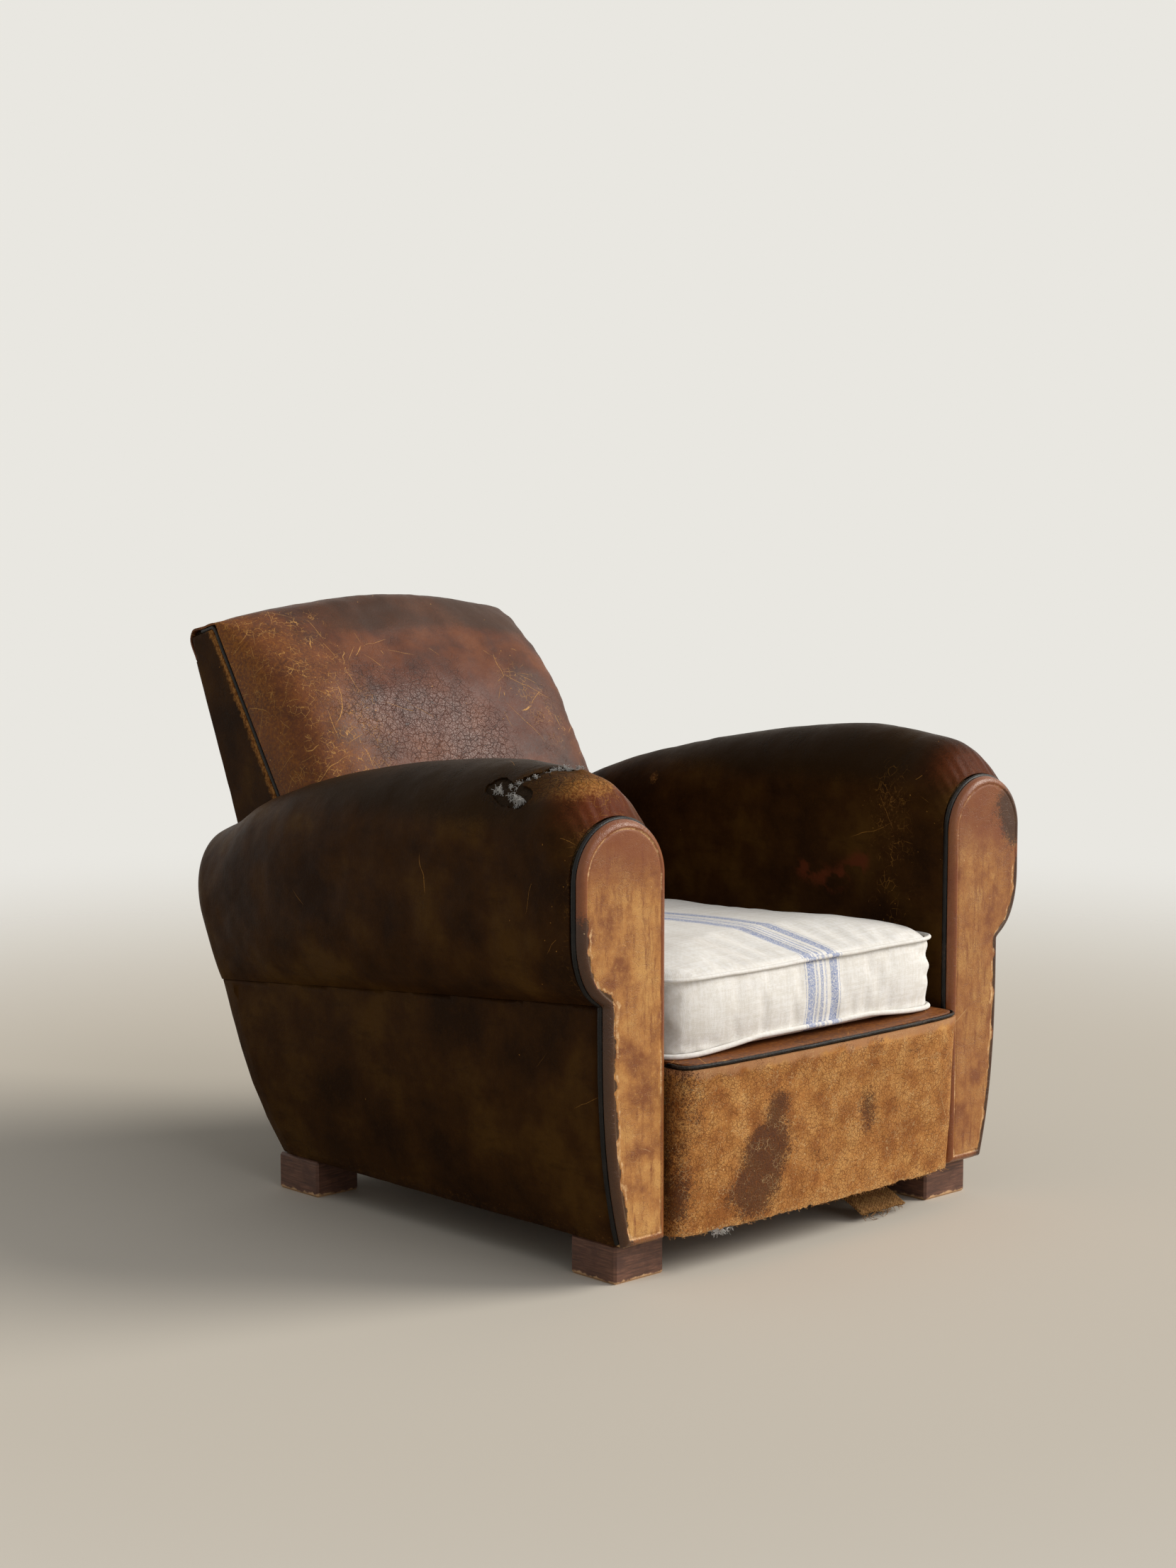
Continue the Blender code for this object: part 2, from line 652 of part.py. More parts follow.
def build_feet(wood):
    """Four block feet under the corners."""
    for side, name in SIDES:
        front_inner = ARM_INNER_X - FRONT_FOOT_INSIDE
        rear_outer = ARM_INNER_X + REAR_FOOT_REACH
        front_xs = sorted((side * front_inner, side * (front_inner + FRONT_FOOT_WIDTH)))
        rear_xs = sorted((side * (rear_outer - REAR_FOOT_WIDTH), side * rear_outer))
        front_ys = (depth(FRONT_FOOT_SETBACK), depth(FRONT_FOOT_SETBACK + FRONT_FOOT_DEPTH))
        rear_ys = (depth(REAR_SETBACK - REAR_FOOT_DEPTH), depth(REAR_SETBACK))
        for place, xs, ys in (("front", front_xs, front_ys), ("rear", rear_xs, rear_ys)):
            low, high = (xs[0], ys[0], 0.0), (xs[1], ys[1], FOOT_HEIGHT)
            add_box(f"{place}_foot_{name}", low, high, wood, FOOT_CHAMFER)


def strap_level(over):
    """The middle height of a strap that passes over or under the one it crosses."""
    weave = (STRAP_THICKNESS + GAP) / 2
    return FOOT_HEIGHT - STRAP_THICKNESS / 2 - 2 * weave + (weave if over else -weave)


def add_strap(name, run, across, place, material):
    """A jute strap: run gives (distance, height) along it, and place turns them into a point."""
    rings = []
    for index, (distance, height) in enumerate(run):
        after = run[min(index + 1, len(run) - 1)]
        before = run[max(index - 1, 0)]
        slope = Vector((after[0] - before[0], after[1] - before[1])).normalized()
        ring = []
        for side, lift in ((-1, -1), (1, -1), (1, 1), (-1, 1)):
            up = lift * STRAP_THICKNESS / 2
            sideways = across + side * STRAP_WIDTH / 2
            ring.append(place(sideways, distance - slope.y * up, height + slope.x * up))
        rings.append(ring)
    add_loft(name, rings, material, smooth=False)


def crossing_places():
    """The x and y places where long and cross straps meet, under one spring each."""
    middle = (STRAP_ROWS - 1) / 2
    xs = [(index - middle) * STRAP_SPACING for index in range(STRAP_ROWS)]
    ys = [depth(FIRST_CROSS_STRAP + index * STRAP_SPACING) for index in range(STRAP_ROWS)]
    return xs, ys


def build_webbing(jute):
    """Woven straps under the rails; the last long one has pulled off the front rail and hangs."""
    xs, ys = crossing_places()
    end_level = FOOT_HEIGHT - STRAP_THICKNESS / 2
    front_end = depth(FRONT_RAIL_SETBACK)
    rear_end = depth(REAR_RAIL_SETBACK + RAIL_THICKNESS)
    for column, x in enumerate(xs):
        loose = column == len(xs) - 1
        if loose:
            tip = depth(LOOSE_END_SETBACK)
            leave = ys[0] - STRAP_FLAT
            level = strap_level(column % 2 == 0)
            run = []
            for step in range(6):
                share = step / 6
                fall = (1 - share) ** LOOSE_END_CURL
                height = level + (LOOSE_END_HEIGHT - level) * fall
                run.append((tip + (leave - tip) * share, height))
        else:
            run = [(front_end, end_level), (front_end + RAIL_THICKNESS, end_level)]
        for row, y in enumerate(ys):
            level = strap_level((row + column) % 2 == 0)
            run += [(y - STRAP_FLAT, level), (y + STRAP_FLAT, level)]
        run += [(rear_end - RAIL_THICKNESS, end_level), (rear_end, end_level)]
        add_strap(f"long_webbing_{column + 1}", run, x, lambda a, d, h: (a, d, h), jute)
    end_x = STUMP_INNER_X - GAP
    inner_x = BACK_HALF - FACING_THICKNESS
    for row, y in enumerate(ys):
        run = [(-end_x, end_level), (-inner_x, end_level)]
        for column, x in enumerate(xs):
            level = strap_level((row + column) % 2 == 1)
            run += [(x - STRAP_FLAT, level), (x + STRAP_FLAT, level)]
        run += [(inner_x, end_level), (end_x, end_level)]
        add_strap(f"cross_webbing_{row + 1}", run, y, lambda a, d, h: (d, a, h), jute)


def build_springs(steel):
    """Nine waisted coil springs standing where the straps cross."""
    xs, ys = crossing_places()
    base = strap_level(True) + STRAP_THICKNESS / 2 + GAP + WIRE_RADIUS
    top = HESSIAN_TOP_Z - HESSIAN - GAP - WIRE_RADIUS
    steps = SPRING_TURNS * SPRING_STEPS
    number = 0
    for y in ys:
        for x in xs:
            number += 1
            path = []
            for step in range(steps + 1):
                share = step / steps
                angle = 2 * math.pi * step / SPRING_STEPS
                waist = math.sin(math.pi * share)
                radius = SPRING_END_RADIUS - (SPRING_END_RADIUS - SPRING_WAIST_RADIUS) * waist
                climbed = (share * SPRING_TURNS - SPRING_FLAT_TURN) / (SPRING_TURNS - 2 * SPRING_FLAT_TURN)
                rise = min(max(climbed, 0.0), 1.0)
                z = base + (top - base) * rise
                path.append((x + radius * math.cos(angle), y + radius * math.sin(angle), z))
            add_tube(f"seat_spring_{number}", path, WIRE_RADIUS, steel, WIRE_SIDES)


def build_spring_hessian(jute):
    """Hessian laid over the springs and brought down onto the rails, open below."""
    foot_z = rail_top() + GAP
    front, rear = FRONT_RAIL_SETBACK + RAIL_THICKNESS / 2, DECK_REAR_SETBACK - HIDE

    def ring(lean, sunk, z):
        half = HESSIAN_FOOT_HALF - (HESSIAN_FOOT_HALF - HESSIAN_TOP_HALF) * lean - sunk
        near = depth(front + HESSIAN_FRONT_LEAN * lean + sunk)
        far = depth(rear - sunk)
        return [(-half, near, z), (half, near, z), (half, far, z), (-half, far, z)]

    rings = [ring(1, HESSIAN, HESSIAN_TOP_Z - HESSIAN), ring(0, HESSIAN, foot_z)]
    rings += [ring(0, 0, foot_z), ring(1, 0, HESSIAN_TOP_Z)]
    add_loft("spring_hessian", rings, jute, smooth=False)


def seat_plan(steps=14):
    """Across the seat's front: x as a share of the half width, and how far forward as a share."""
    plan = []
    for step in range(steps + 1):
        angle = math.pi * step / steps
        along, out = -math.cos(angle), math.sin(angle)
        plan.append((math.copysign(abs(along) ** APRON_CORNER_POWER, along), out ** APRON_CORNER_POWER))
    plan[0], plan[-1] = (-1.0, 0.0), (1.0, 0.0)
    plan[steps // 2] = (0.0, 1.0)
    return plan


def seat_front_point(place, z, sunk):
    """A point on the seat's bowed front, or sunk behind its surface."""
    share_x, share_out = place
    x = share_x * (SEAT_HALF - sunk)
    climb = (z - APRON_BOTTOM_Z) / (DECK_Z - APRON_BOTTOM_Z)
    proud = APRON_BOTTOM_PROUD + (APRON_TOP_PROUD - APRON_BOTTOM_PROUD) * climb
    proud += APRON_BOW * (1 - share_x**2)
    reach = share_out * (APRON_REAR_SETBACK + proud - sunk)
    return x, depth(APRON_REAR_SETBACK - reach), z


def build_seat(hide, cord, hair):
    """The hide front and deck, the piping between them, and the hair pad under both."""
    plan = seat_plan()
    heights = [APRON_BOTTOM_Z + (DECK_Z - SEAT_EDGE - APRON_BOTTOM_Z) * step / 3 for step in range(4)]
    outer = np.array([[seat_front_point(place, z, 0.0) for place in plan] for z in heights])
    inner = np.array([[seat_front_point(place, z, HIDE) for place in plan] for z in heights])
    add_skin("front_cover", outer, inner, hide)

    route = []
    for place in plan[1:-1]:
        x, y, z = seat_front_point(place, DECK_Z, FRONT_PIPING_SUNK)
        route.append((x, y, z - FRONT_PIPING_SUNK))
    add_tube("front_piping", route, FRONT_PIPING_RADIUS, cord)

    rear = depth(DECK_REAR_SETBACK)
    shares = (0.0, 0.5, 1.0)
    deck = []
    for share in shares:
        row = []
        for place in plan:
            x, y, z = seat_front_point(place, DECK_Z, SEAT_EDGE)
            row.append((x, y + share * (rear - y), z))
        deck.append(row)
    deck = np.array(deck)
    add_skin("deck_cover", deck, deck - np.array([0, 0, HIDE]), hide)

    sunk = HIDE + GAP
    low_z = DECK_Z - sunk
    pad_front = DECK_Z - SEAT_SHOULDER - APRON_BOTTOM_Z
    pad_heights = [APRON_BOTTOM_Z + pad_front * step / 3 for step in range(4)]
    pad_outer = [[seat_front_point(place, z, sunk) for place in plan] for z in pad_heights]
    for share in shares:
        row = []
        for place in plan:
            x, y, _ = seat_front_point(place, DECK_Z, SEAT_SHOULDER)
            row.append((x * (SEAT_HALF - sunk) / (SEAT_HALF - SEAT_SHOULDER), y + share * (rear - y), low_z))
        pad_outer.append(row)
    under = HESSIAN_TOP_Z + GAP
    pad_inner = []
    for step in range(4):
        z = APRON_BOTTOM_Z + (under - SEAT_SHOULDER / 2 - APRON_BOTTOM_Z) * step / 3
        pad_inner.append([(place[0] * HESSIAN_TOP_HALF, depth(APRON_REAR_SETBACK), z) for place in plan])
    for share in shares:
        front = depth(APRON_REAR_SETBACK) + SEAT_SHOULDER
        y = front + share * (rear - front)
        pad_inner.append([(place[0] * HESSIAN_TOP_HALF, y, under) for place in plan])
    add_skin("seat_padding", np.array(pad_outer), np.array(pad_inner), hair)


def cushion_ring(scale, z, bulge=0.0, lifted=0.0, fall=0.0, steps=36):
    """One ring of the cushion's plan, with its front lifted in the middle and its rear settled."""
    half = CUSHION_HALF
    long_half = (CUSHION_REAR_SETBACK - CUSHION_FRONT_SETBACK) / 2
    middle = depth((CUSHION_FRONT_SETBACK + CUSHION_REAR_SETBACK) / 2)
    ring = []
    for step in range(steps):
        angle = 2 * math.pi * (step + 0.5) / steps
        across = math.copysign(abs(math.cos(angle)) ** CUSHION_CORNER_POWER, math.cos(angle))
        back = math.copysign(abs(math.sin(angle)) ** CUSHION_CORNER_POWER, math.sin(angle))
        lift = lifted * max(0.0, -back * scale) ** 3 * math.cos(across * math.pi / 2) ** 2
        x = across * (half * scale + bulge)
        y = middle + back * (long_half * scale + bulge)
        ring.append((x, y, z + lift - fall * (1 + back * scale) / 2))
    return ring


def build_cushion(linen):
    """The loose box cushion and the welts sewn round its two edges."""
    base = DECK_Z + GAP
    low_z = base + WELT_RADIUS
    lift = CUSHION_FRONT_LIFT
    fall = CUSHION_REAR_FALL
    rings = [cushion_ring(scale, base) for scale in CUSHION_BASE_SCALES[:-1]]
    rings.append(cushion_ring(CUSHION_BASE_SCALES[-1], base, 0, lift))
    rings.append(cushion_ring(1.0, low_z, 0, lift))
    middle_z = (low_z + CUSHION_EDGE_Z) / 2
    rings.append(cushion_ring(1.0, middle_z, CUSHION_SIDE_BULGE, lift / 2, fall / 2))
    rings.append(cushion_ring(1.0, CUSHION_EDGE_Z, 0, 0, fall))
    for scale, share in CUSHION_TOP_RINGS:
        rings.append(cushion_ring(scale, CUSHION_EDGE_Z + CUSHION_CROWN * share, 0, 0, fall))
    add_loft("seat_cushion", rings, linen)
    out = WELT_RADIUS + GAP
    top = cushion_ring(1.0, CUSHION_EDGE_Z, out, 0, fall)
    bottom = cushion_ring(1.0, low_z, out, lift)
    add_tube("cushion_welt_top", top, WELT_RADIUS, linen, closed=True)
    add_tube("cushion_welt_bottom", bottom, WELT_RADIUS, linen, closed=True)


def pad_back():
    """How far behind the piping line the back's padding ends, level with the floor."""
    return BACK_PAD_DEPTH * math.hypot(1, BACK_LINE_RAKE)


def post_front():
    """How far behind the piping line the back posts start, level with the floor."""
    return pad_back() + 2 * GAP + HESSIAN * math.hypot(1, BACK_LINE_RAKE)


def back_profile(share):
    """(y, z) up the back's hide at a share of its half width: front, over the top, rear."""
    flat_power, flat_root = BACK_FLAT_POWERS
    flat = max(0.0, 1 - abs(share) ** flat_power) ** flat_root
    arch = 1 - abs(share) ** BACK_ARCH_POWER
    front_lean = Vector((-1.0, BACK_LINE_RAKE)).normalized()
    corner = Vector((back_line_y(BACK_TOP_Z), BACK_TOP_Z))
    rear_inside = HIDE + GAP + BACK_EDGE_LIFT * math.hypot(1, REAR_RAKE)
    rear_corner = Vector((rear_y(BACK_REAR_TOP_Z, rear_inside), BACK_REAR_TOP_Z))
    top_run = (rear_corner - corner).normalized()
    top_lean = Vector((-top_run.y, top_run.x))
    rear_lean = Vector((1.0, -REAR_RAKE)).normalized()
    points = []
    for height, turn, ahead, above, arched in BACK_STATIONS:
        full = flat + (arch - flat) * arched
        edge = Vector((back_line_y(height), height)) + BACK_EDGE_LIFT * front_lean.slerp(top_lean, turn)
        points.append(edge + full * Vector((-ahead, above)))
    ahead, above = BACK_TOP_MIDDLE
    points.append(corner.lerp(rear_corner, 0.5) + BACK_EDGE_LIFT * top_lean + arch * Vector((-ahead, above)))
    points.append(rear_corner + BACK_EDGE_LIFT * top_lean)
    points.append(rear_corner + BACK_EDGE_LIFT * rear_lean)
    points.append(Vector((rear_y(BACK_COVER_REAR_Z, HIDE + GAP), BACK_COVER_REAR_Z)))
    return points


def back_grid(steps=12):
    """The back hide's outer surface, full in the middle and pulled in at the side piping."""
    columns = []
    for step in range(steps + 1):
        share = -math.cos(math.pi * step / steps)
        x = share * (BACK_HALF - GAP)
        columns.append([(x, point.x, point.y) for point in back_profile(share)])
    return np.array(columns)


def build_back(hide, dark_hide, cord, hair, jute):
    """Padding and hide on the back's frame, its side facings, piping and flat outside."""
    grid = back_grid()[::-1]
    add_skin("back_cover", grid, inset(grid, HIDE), hide)

    heights = [station[0] for station in BACK_STATIONS]
    front_rows = heights.index(BACK_TOP_Z) + 1
    pad = inset(grid, HIDE + GAP)[:, :-2]
    widest = BACK_HALF - 2 * BACK_PIPING_RADIUS - 2 * GAP
    pad[:, :, 0] = np.clip(pad[:, :, 0], -widest, widest)
    top_z = BACK_POST_TOP_Z + GAP
    rear_rows = pad.shape[1] - front_rows
    base = pad.copy()
    for row in range(pad.shape[1]):
        if row < front_rows:
            climb = (heights[row] - heights[0]) / (BACK_TOP_Z - heights[0])
            z = heights[0] + (top_z - heights[0]) * climb
            y = back_line_y(z, pad_back())
        else:
            z = top_z
            share = (row - front_rows + 1) / rear_rows
            y = back_line_y(z, pad_back())
            y += share * (rear_y(z, REAR_LAYERS + HIDE) - y)
        base[:, row, 1] = y
        base[:, row, 2] = z
    add_skin("back_padding", pad, base, hair)

    half = BACK_HALF - FACING_THICKNESS - GAP
    sheet_front, sheet_back = pad_back() + GAP, post_front() - GAP
    profile = [(back_line_y(z, behind), z) for behind, z in (
        (sheet_front, BACK_LOWER_RAIL_Z), (sheet_back, BACK_LOWER_RAIL_Z),
        (sheet_back, BACK_POST_TOP_Z), (sheet_front, BACK_POST_TOP_Z))]
    extrude_side("back_hessian", profile, -half, half, jute)

    behind = (BACK_PIPING_RADIUS + GAP) * math.hypot(1, BACK_LINE_RAKE)
    turn_z = BACK_TOP_Z - BACK_PIPING_RADIUS - GAP
    rear_z = BACK_REAR_TOP_Z - BACK_PIPING_RADIUS - GAP
    step_z = BACK_COVER_REAR_Z - HIDE
    profile = [
        (back_line_y(BACK_FACING_BOTTOM_Z, behind), BACK_FACING_BOTTOM_Z),
        (rear_y(BACK_FACING_BOTTOM_Z, HIDE + GAP), BACK_FACING_BOTTOM_Z),
        (rear_y(step_z, HIDE + GAP), step_z),
        (rear_y(step_z, REAR_LAYERS), step_z),
        (rear_y(rear_z, REAR_LAYERS), rear_z),
        (back_line_y(turn_z, behind), turn_z),
    ]
    cord_x = BACK_HALF - GAP - BACK_PIPING_RADIUS
    run = [(back_line_y(z), z) for z in np.linspace(BACK_FACING_BOTTOM_Z, BACK_TOP_Z, 6)]
    corner = Vector(run[-1])
    rear_corner = Vector((rear_y(BACK_REAR_TOP_Z, REAR_LAYERS), BACK_REAR_TOP_Z))
    run.append(tuple(corner.lerp(rear_corner, BACK_PIPING_TURN)))
    for side, name in SIDES:
        inner_x = BACK_HALF - FACING_THICKNESS
        extrude_side(f"back_facing_{name}", profile, side * inner_x, side * BACK_HALF, dark_hide)
        add_tube(f"back_piping_{name}", [(side * cord_x, y, z) for y, z in run], BACK_PIPING_RADIUS, cord)

    build_outside_back(dark_hide)


def build_outside_back(hide):
    """The flat hide that closes the rear: as wide as the arms below, as the back above."""
    foot_z = rail_top() + GAP
    arm = offset_outline(arm_outline(1.0, foot_z), ARM_REAR_ROUND)
    side = offset_outline(side_outline(side_top_z(1.0), PANEL_BOTTOM_Z), ARM_REAR_ROUND)
    over_arm = [tuple(point) for point in arm[::-1] if point[0] > BACK_HALF and point[1] > ARM_SEAM_REAR_Z]
    half = [tuple(point) for point in side[::-1]] + over_arm
    edge_z = BACK_REAR_TOP_Z - OUTSIDE_BACK_EDGE_DROP
    low_edge = max(point[1] for point in over_arm)
    half += [(BACK_HALF - HIDE, low_edge), (BACK_HALF - HIDE, edge_z)]
    half += [(BACK_HALF - OUTSIDE_BACK_CORNER, BACK_REAR_TOP_Z)]
    outline = half + [(-x, z) for x, z in reversed(half)]
    rings = [[(x, rear_y(z, inside), z) for x, z in outline] for inside in (HIDE, 0.0)]
    add_loft("outside_back", rings, hide, smooth=False)


def build_chair():
    clear_scene()
    dark_hide = make_material("dark_brown_hide", (0.055, 0.030, 0.018), 0.45)
    brown_hide = make_material("brown_hide", (0.130, 0.060, 0.032), 0.40)
    tan_hide = make_material("worn_tan_hide", (0.420, 0.220, 0.085), 0.60)
    black_cord = make_material("black_piping", (0.015, 0.014, 0.015), 0.35)
    linen = make_material("striped_linen", (0.760, 0.730, 0.680), 0.90)
    foot_wood = make_material("stained_beech_foot", (0.090, 0.042, 0.025), 0.55)
    beech = make_material("beech", (0.550, 0.380, 0.220), 0.70)
    jute = make_material("jute", (0.420, 0.300, 0.160), 0.95)
    steel = make_material("spring_steel", (0.250, 0.240, 0.230), 0.45, 1.0)
    hair = make_material("curled_hair", (0.220, 0.170, 0.120), 1.00)

    build_feet(foot_wood)
    build_frame(beech)
    build_webbing(jute)
    build_springs(steel)
    build_spring_hessian(jute)
    build_seat(tan_hide, black_cord, hair)
    build_cushion(linen)
    build_back(brown_hide, dark_hide, black_cord, hair, jute)
    for side, name in SIDES:
        build_front_post(side, name, beech)
        build_arm_front(side, name, tan_hide, black_cord)
        build_arm(side, name, dark_hide, hair)
        build_side_panel(side, name, dark_hide)


build_chair()
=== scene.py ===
# Worn leather club chair: the finish of every surface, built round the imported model
import math
from functools import partial

import bmesh
import bpy
import numpy as np
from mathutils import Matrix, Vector


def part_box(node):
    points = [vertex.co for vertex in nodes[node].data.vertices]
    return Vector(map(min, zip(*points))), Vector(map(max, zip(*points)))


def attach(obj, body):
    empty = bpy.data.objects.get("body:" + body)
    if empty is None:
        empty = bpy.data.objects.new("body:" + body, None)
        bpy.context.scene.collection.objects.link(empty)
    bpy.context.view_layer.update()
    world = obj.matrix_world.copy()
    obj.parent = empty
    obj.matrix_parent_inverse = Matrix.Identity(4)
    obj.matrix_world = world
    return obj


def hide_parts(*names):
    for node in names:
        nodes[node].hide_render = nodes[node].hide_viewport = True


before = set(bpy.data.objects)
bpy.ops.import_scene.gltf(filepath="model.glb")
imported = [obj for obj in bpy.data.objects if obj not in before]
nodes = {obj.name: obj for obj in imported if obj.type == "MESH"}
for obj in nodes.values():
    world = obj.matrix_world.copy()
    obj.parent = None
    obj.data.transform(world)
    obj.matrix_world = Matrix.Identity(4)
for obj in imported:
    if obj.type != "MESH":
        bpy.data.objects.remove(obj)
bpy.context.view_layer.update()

scene = bpy.context.scene
rng = np.random.default_rng(11)
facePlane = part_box("arm_front_left")[0].y  # the plane of the arm fronts, which depths are measured from
print("frame loaded:", len(nodes), "nodes")


# Numbers and surfaces

def toLinear(hexColour):
    parts = [int(hexColour[i:i + 2], 16) / 255 for i in (1, 3, 5)]
    return tuple(v / 12.92 if v <= 0.04045 else ((v + 0.055) / 1.055) ** 2.4 for v in parts) + (1.0,)


def softNoise(points, size, seed=0):  # smooth lumps of about this size in metres, from -1 to 1
    p = np.asarray(points) / size + 13.7 * seed
    cell = np.floor(p).astype(np.int64)
    part = p - cell
    part = part * part * (3 - 2 * part)
    total = np.zeros(p.shape[:-1])
    for corner in range(8):
        offset = np.array([corner & 1, corner >> 1 & 1, corner >> 2])
        weight = np.prod(np.where(offset, part, 1 - part), axis=-1)
        c = cell + offset
        key = (c[..., 0] * 73856093 ^ c[..., 1] * 19349663 ^ c[..., 2] * 83492791 ^ (seed + 1)
               * 265443) & 0xFFFFFF
        key = (key ^ key >> 11) * 2654435 & 0xFFFFFFF
        key = (key ^ key >> 13) * 1274127 & 0xFFFFFFF
        total += weight * ((key & 0xFFFFF) / 524288.0 - 1)
    return total


def roughNoise(points, size, seed=0, octaves=3):
    return sum(softNoise(points, size / 2**k, seed + 7 * k) * 0.5**k for k in range(octaves))


def blendStep(low, high, value):  # 0 below low, 1 above high, smooth between
    t = np.clip((value - low) / (high - low), 0, 1)
    return t * t * (3 - 2 * t)


def distanceTo(points, line):  # from each point to the nearest place on a line of points
    line = np.asarray(line, float)
    best = np.linalg.norm(points - line[0], axis=-1)
    for a, b in zip(line[:-1], line[1:]):
        t = np.clip(((points - a) @ (b - a)) / max((b - a) @ (b - a), 1e-12), 0, 1)
        best = np.minimum(best, np.linalg.norm(points - a - t[..., None] * (b - a), axis=-1))
    return best


def nearLine(points, line, radius):  # 1 on a line of points, falling to 0 at the radius
    return blendStep(0, 1, 1 - distanceTo(points, line) / radius)


def atLeast(fields, key, values):
    fields[key] = np.maximum(fields[key], values)


def runOf(line):  # the distance along a line of points
    return np.concatenate([[0], np.cumsum(np.linalg.norm(np.diff(line, axis=0), axis=1))])


def evenly(line, count, endpoint=True):
    run = runOf(line)
    even = np.linspace(0, run[-1], count, endpoint=endpoint)
    return np.stack([np.interp(even, run, line[:, k]) for k in range(line.shape[1])], axis=1)


def wander(line, amount, size, seed):  # how far a cord strays from its line
    return amount * np.stack([softNoise(line, size, seed + k) for k in range(3)], -1)


def surfaceNormals(grid):  # outward where columns x rows is outward
    across = np.gradient(grid, axis=1)
    along = np.gradient(grid, axis=0)
    normal = np.cross(across, along)
    return normal / np.maximum(np.linalg.norm(normal, axis=-1, keepdims=True), 1e-12)


def smoothLine(points, count):  # a Catmull-Rom curve through points, evenly spaced
    p = np.asarray(points, float)
    p = np.vstack([2 * p[0] - p[1], p, 2 * p[-1] - p[-2]])
    fine = []
    for i in range(1, len(p) - 2):
        for t in np.linspace(0, 1, 24, endpoint=i == len(p) - 3):
            fine.append(0.5 * (2 * p[i] + (p[i + 1] - p[i - 1]) * t
                               + (2 * p[i - 1] - 5 * p[i] + 4 * p[i + 1] - p[i + 2]) * t**2
                               + (3 * p[i] - p[i - 1] - 3 * p[i + 1] + p[i + 2]) * t**3))
    return evenly(np.array(fine), count)


def offsetLine(line, distance):  # an open (x, z) line moved to its right-hand side
    step = np.gradient(line, axis=0)
    side = np.stack([step[:, 1], -step[:, 0]], axis=1)
    return line + distance * side / np.linalg.norm(side, axis=1, keepdims=True)


def quarterTurn(centre, start, end, steps):
    centre, start, end = np.array(centre), np.array(start), np.array(end)
    angles = np.linspace(0, math.pi / 2, steps + 1)[:, None]
    return centre + (start - centre) * np.cos(angles) + (end - centre) * np.sin(angles)


def setback(distance):
    return facePlane + distance


# Meshes

def setFields(mesh, fields):
    for key, values in fields.items():
        mesh.attributes.new(key, "FLOAT", "POINT").data.foreach_set("value", values.astype(np.float32))


def dressPiece(name, mesh, material, replaced, fields, sharp=50):
    setFields(mesh, fields)
    mesh.shade_smooth()
    mesh.set_sharp_from_angle(angle=math.radians(sharp))
    mesh.materials.clear()
    mesh.materials.append(material)
    piece = bpy.data.objects.new(name, mesh)
    scene.collection.objects.link(piece)
    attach(piece, "root")
    if replaced:
        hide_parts(*replaced)
    return piece


def meshPiece(name, points, faces, material, slot, replaced=(), fields=None, sharp=50):
    points = np.asarray(points, float).reshape(-1, 3)
    used = np.unique(np.concatenate([np.ravel(f) for f in faces]))
    place = np.full(len(points), -1)
    place[used] = np.arange(len(used))
    mesh = bpy.data.meshes.new(name)
    mesh.from_pydata(points[used].tolist(), [], [place[np.asarray(f)].tolist() for f in faces])
    fields = {key: np.ravel(values)[used] for key, values in (fields or {}).items()}
    return dressPiece(name, mesh, material, replaced, fields, sharp)


def gridFaces(rows, columns, wrapped=False):
    row = np.arange(rows - 1)[:, None] * columns
    here = np.arange(columns if wrapped else columns - 1)[None, :]
    after = (here + 1) % columns
    return np.stack([row + here, row + after, row + columns + after, row + columns + here], -1).reshape(-1, 4)


def skinFaces(outerShape, keep=None):  # both sides of a sheet and the rim round every open edge
    rows, columns = outerShape
    quads = gridFaces(rows, columns)
    if keep is not None:
        quads = quads[np.ravel(keep)]
    count = rows * columns
    starts = quads.ravel()
    ends = np.roll(quads, -1, axis=1).ravel()
    openEdges = ~np.isin(starts * count + ends, ends * count + starts)
    a, b = starts[openEdges], ends[openEdges]
    rim = np.stack([b, a, a + count, b + count], axis=1)
    return np.concatenate([quads, quads[:, ::-1] + count, rim])


def skinPiece(name, outer, thickness, material, slot, replaced=(), fields=None, keep=None, sharp=50):
    inner = outer - thickness * surfaceNormals(outer)
    both = {key: np.concatenate([np.ravel(v), np.ravel(v)]) for key, v in (fields or {}).items()}
    points = np.concatenate([outer.reshape(-1, 3), inner.reshape(-1, 3)])
    return meshPiece(name, points, skinFaces(outer.shape[:2], keep), material, slot, replaced, both, sharp)


def tubeArrays(path, radius, sides, closed=False):
    path = np.asarray(path, float)
    if closed:
        step = np.roll(path, -1, axis=0) - np.roll(path, 1, axis=0)
    else:
        step = np.gradient(path, axis=0)
    step /= np.linalg.norm(step, axis=1, keepdims=True)
    side = np.array(Vector(step[0]).orthogonal().normalized())
    radii = np.broadcast_to(radius, len(path))
    rings = []
    angles = 2 * np.pi * np.arange(sides)[:, None] / sides
    for point, ahead, r in zip(path, step, radii):
        side = side - ahead * (side @ ahead)
        side /= np.linalg.norm(side)
        rings.append(point + r * (np.cos(angles) * side + np.sin(angles) * np.cross(ahead, side)))
    points = np.concatenate(rings)
    count = len(path)
    quads = gridFaces(count + 1, sides, wrapped=True) % (count * sides) if closed else gridFaces(count,
                                                                                                 sides, True)
    faces = quads.tolist()
    if not closed:
        faces += [list(range(sides))[::-1], [(count - 1) * sides + k for k in range(sides)]]
    return points, faces


def joinParts(parts):
    allPoints, allFaces, start = [], [], 0
    for points, faces in parts:
        allPoints.append(points)
        allFaces += [[start + k for k in face] for face in faces]
        start += len(points)
    return np.concatenate(allPoints), allFaces


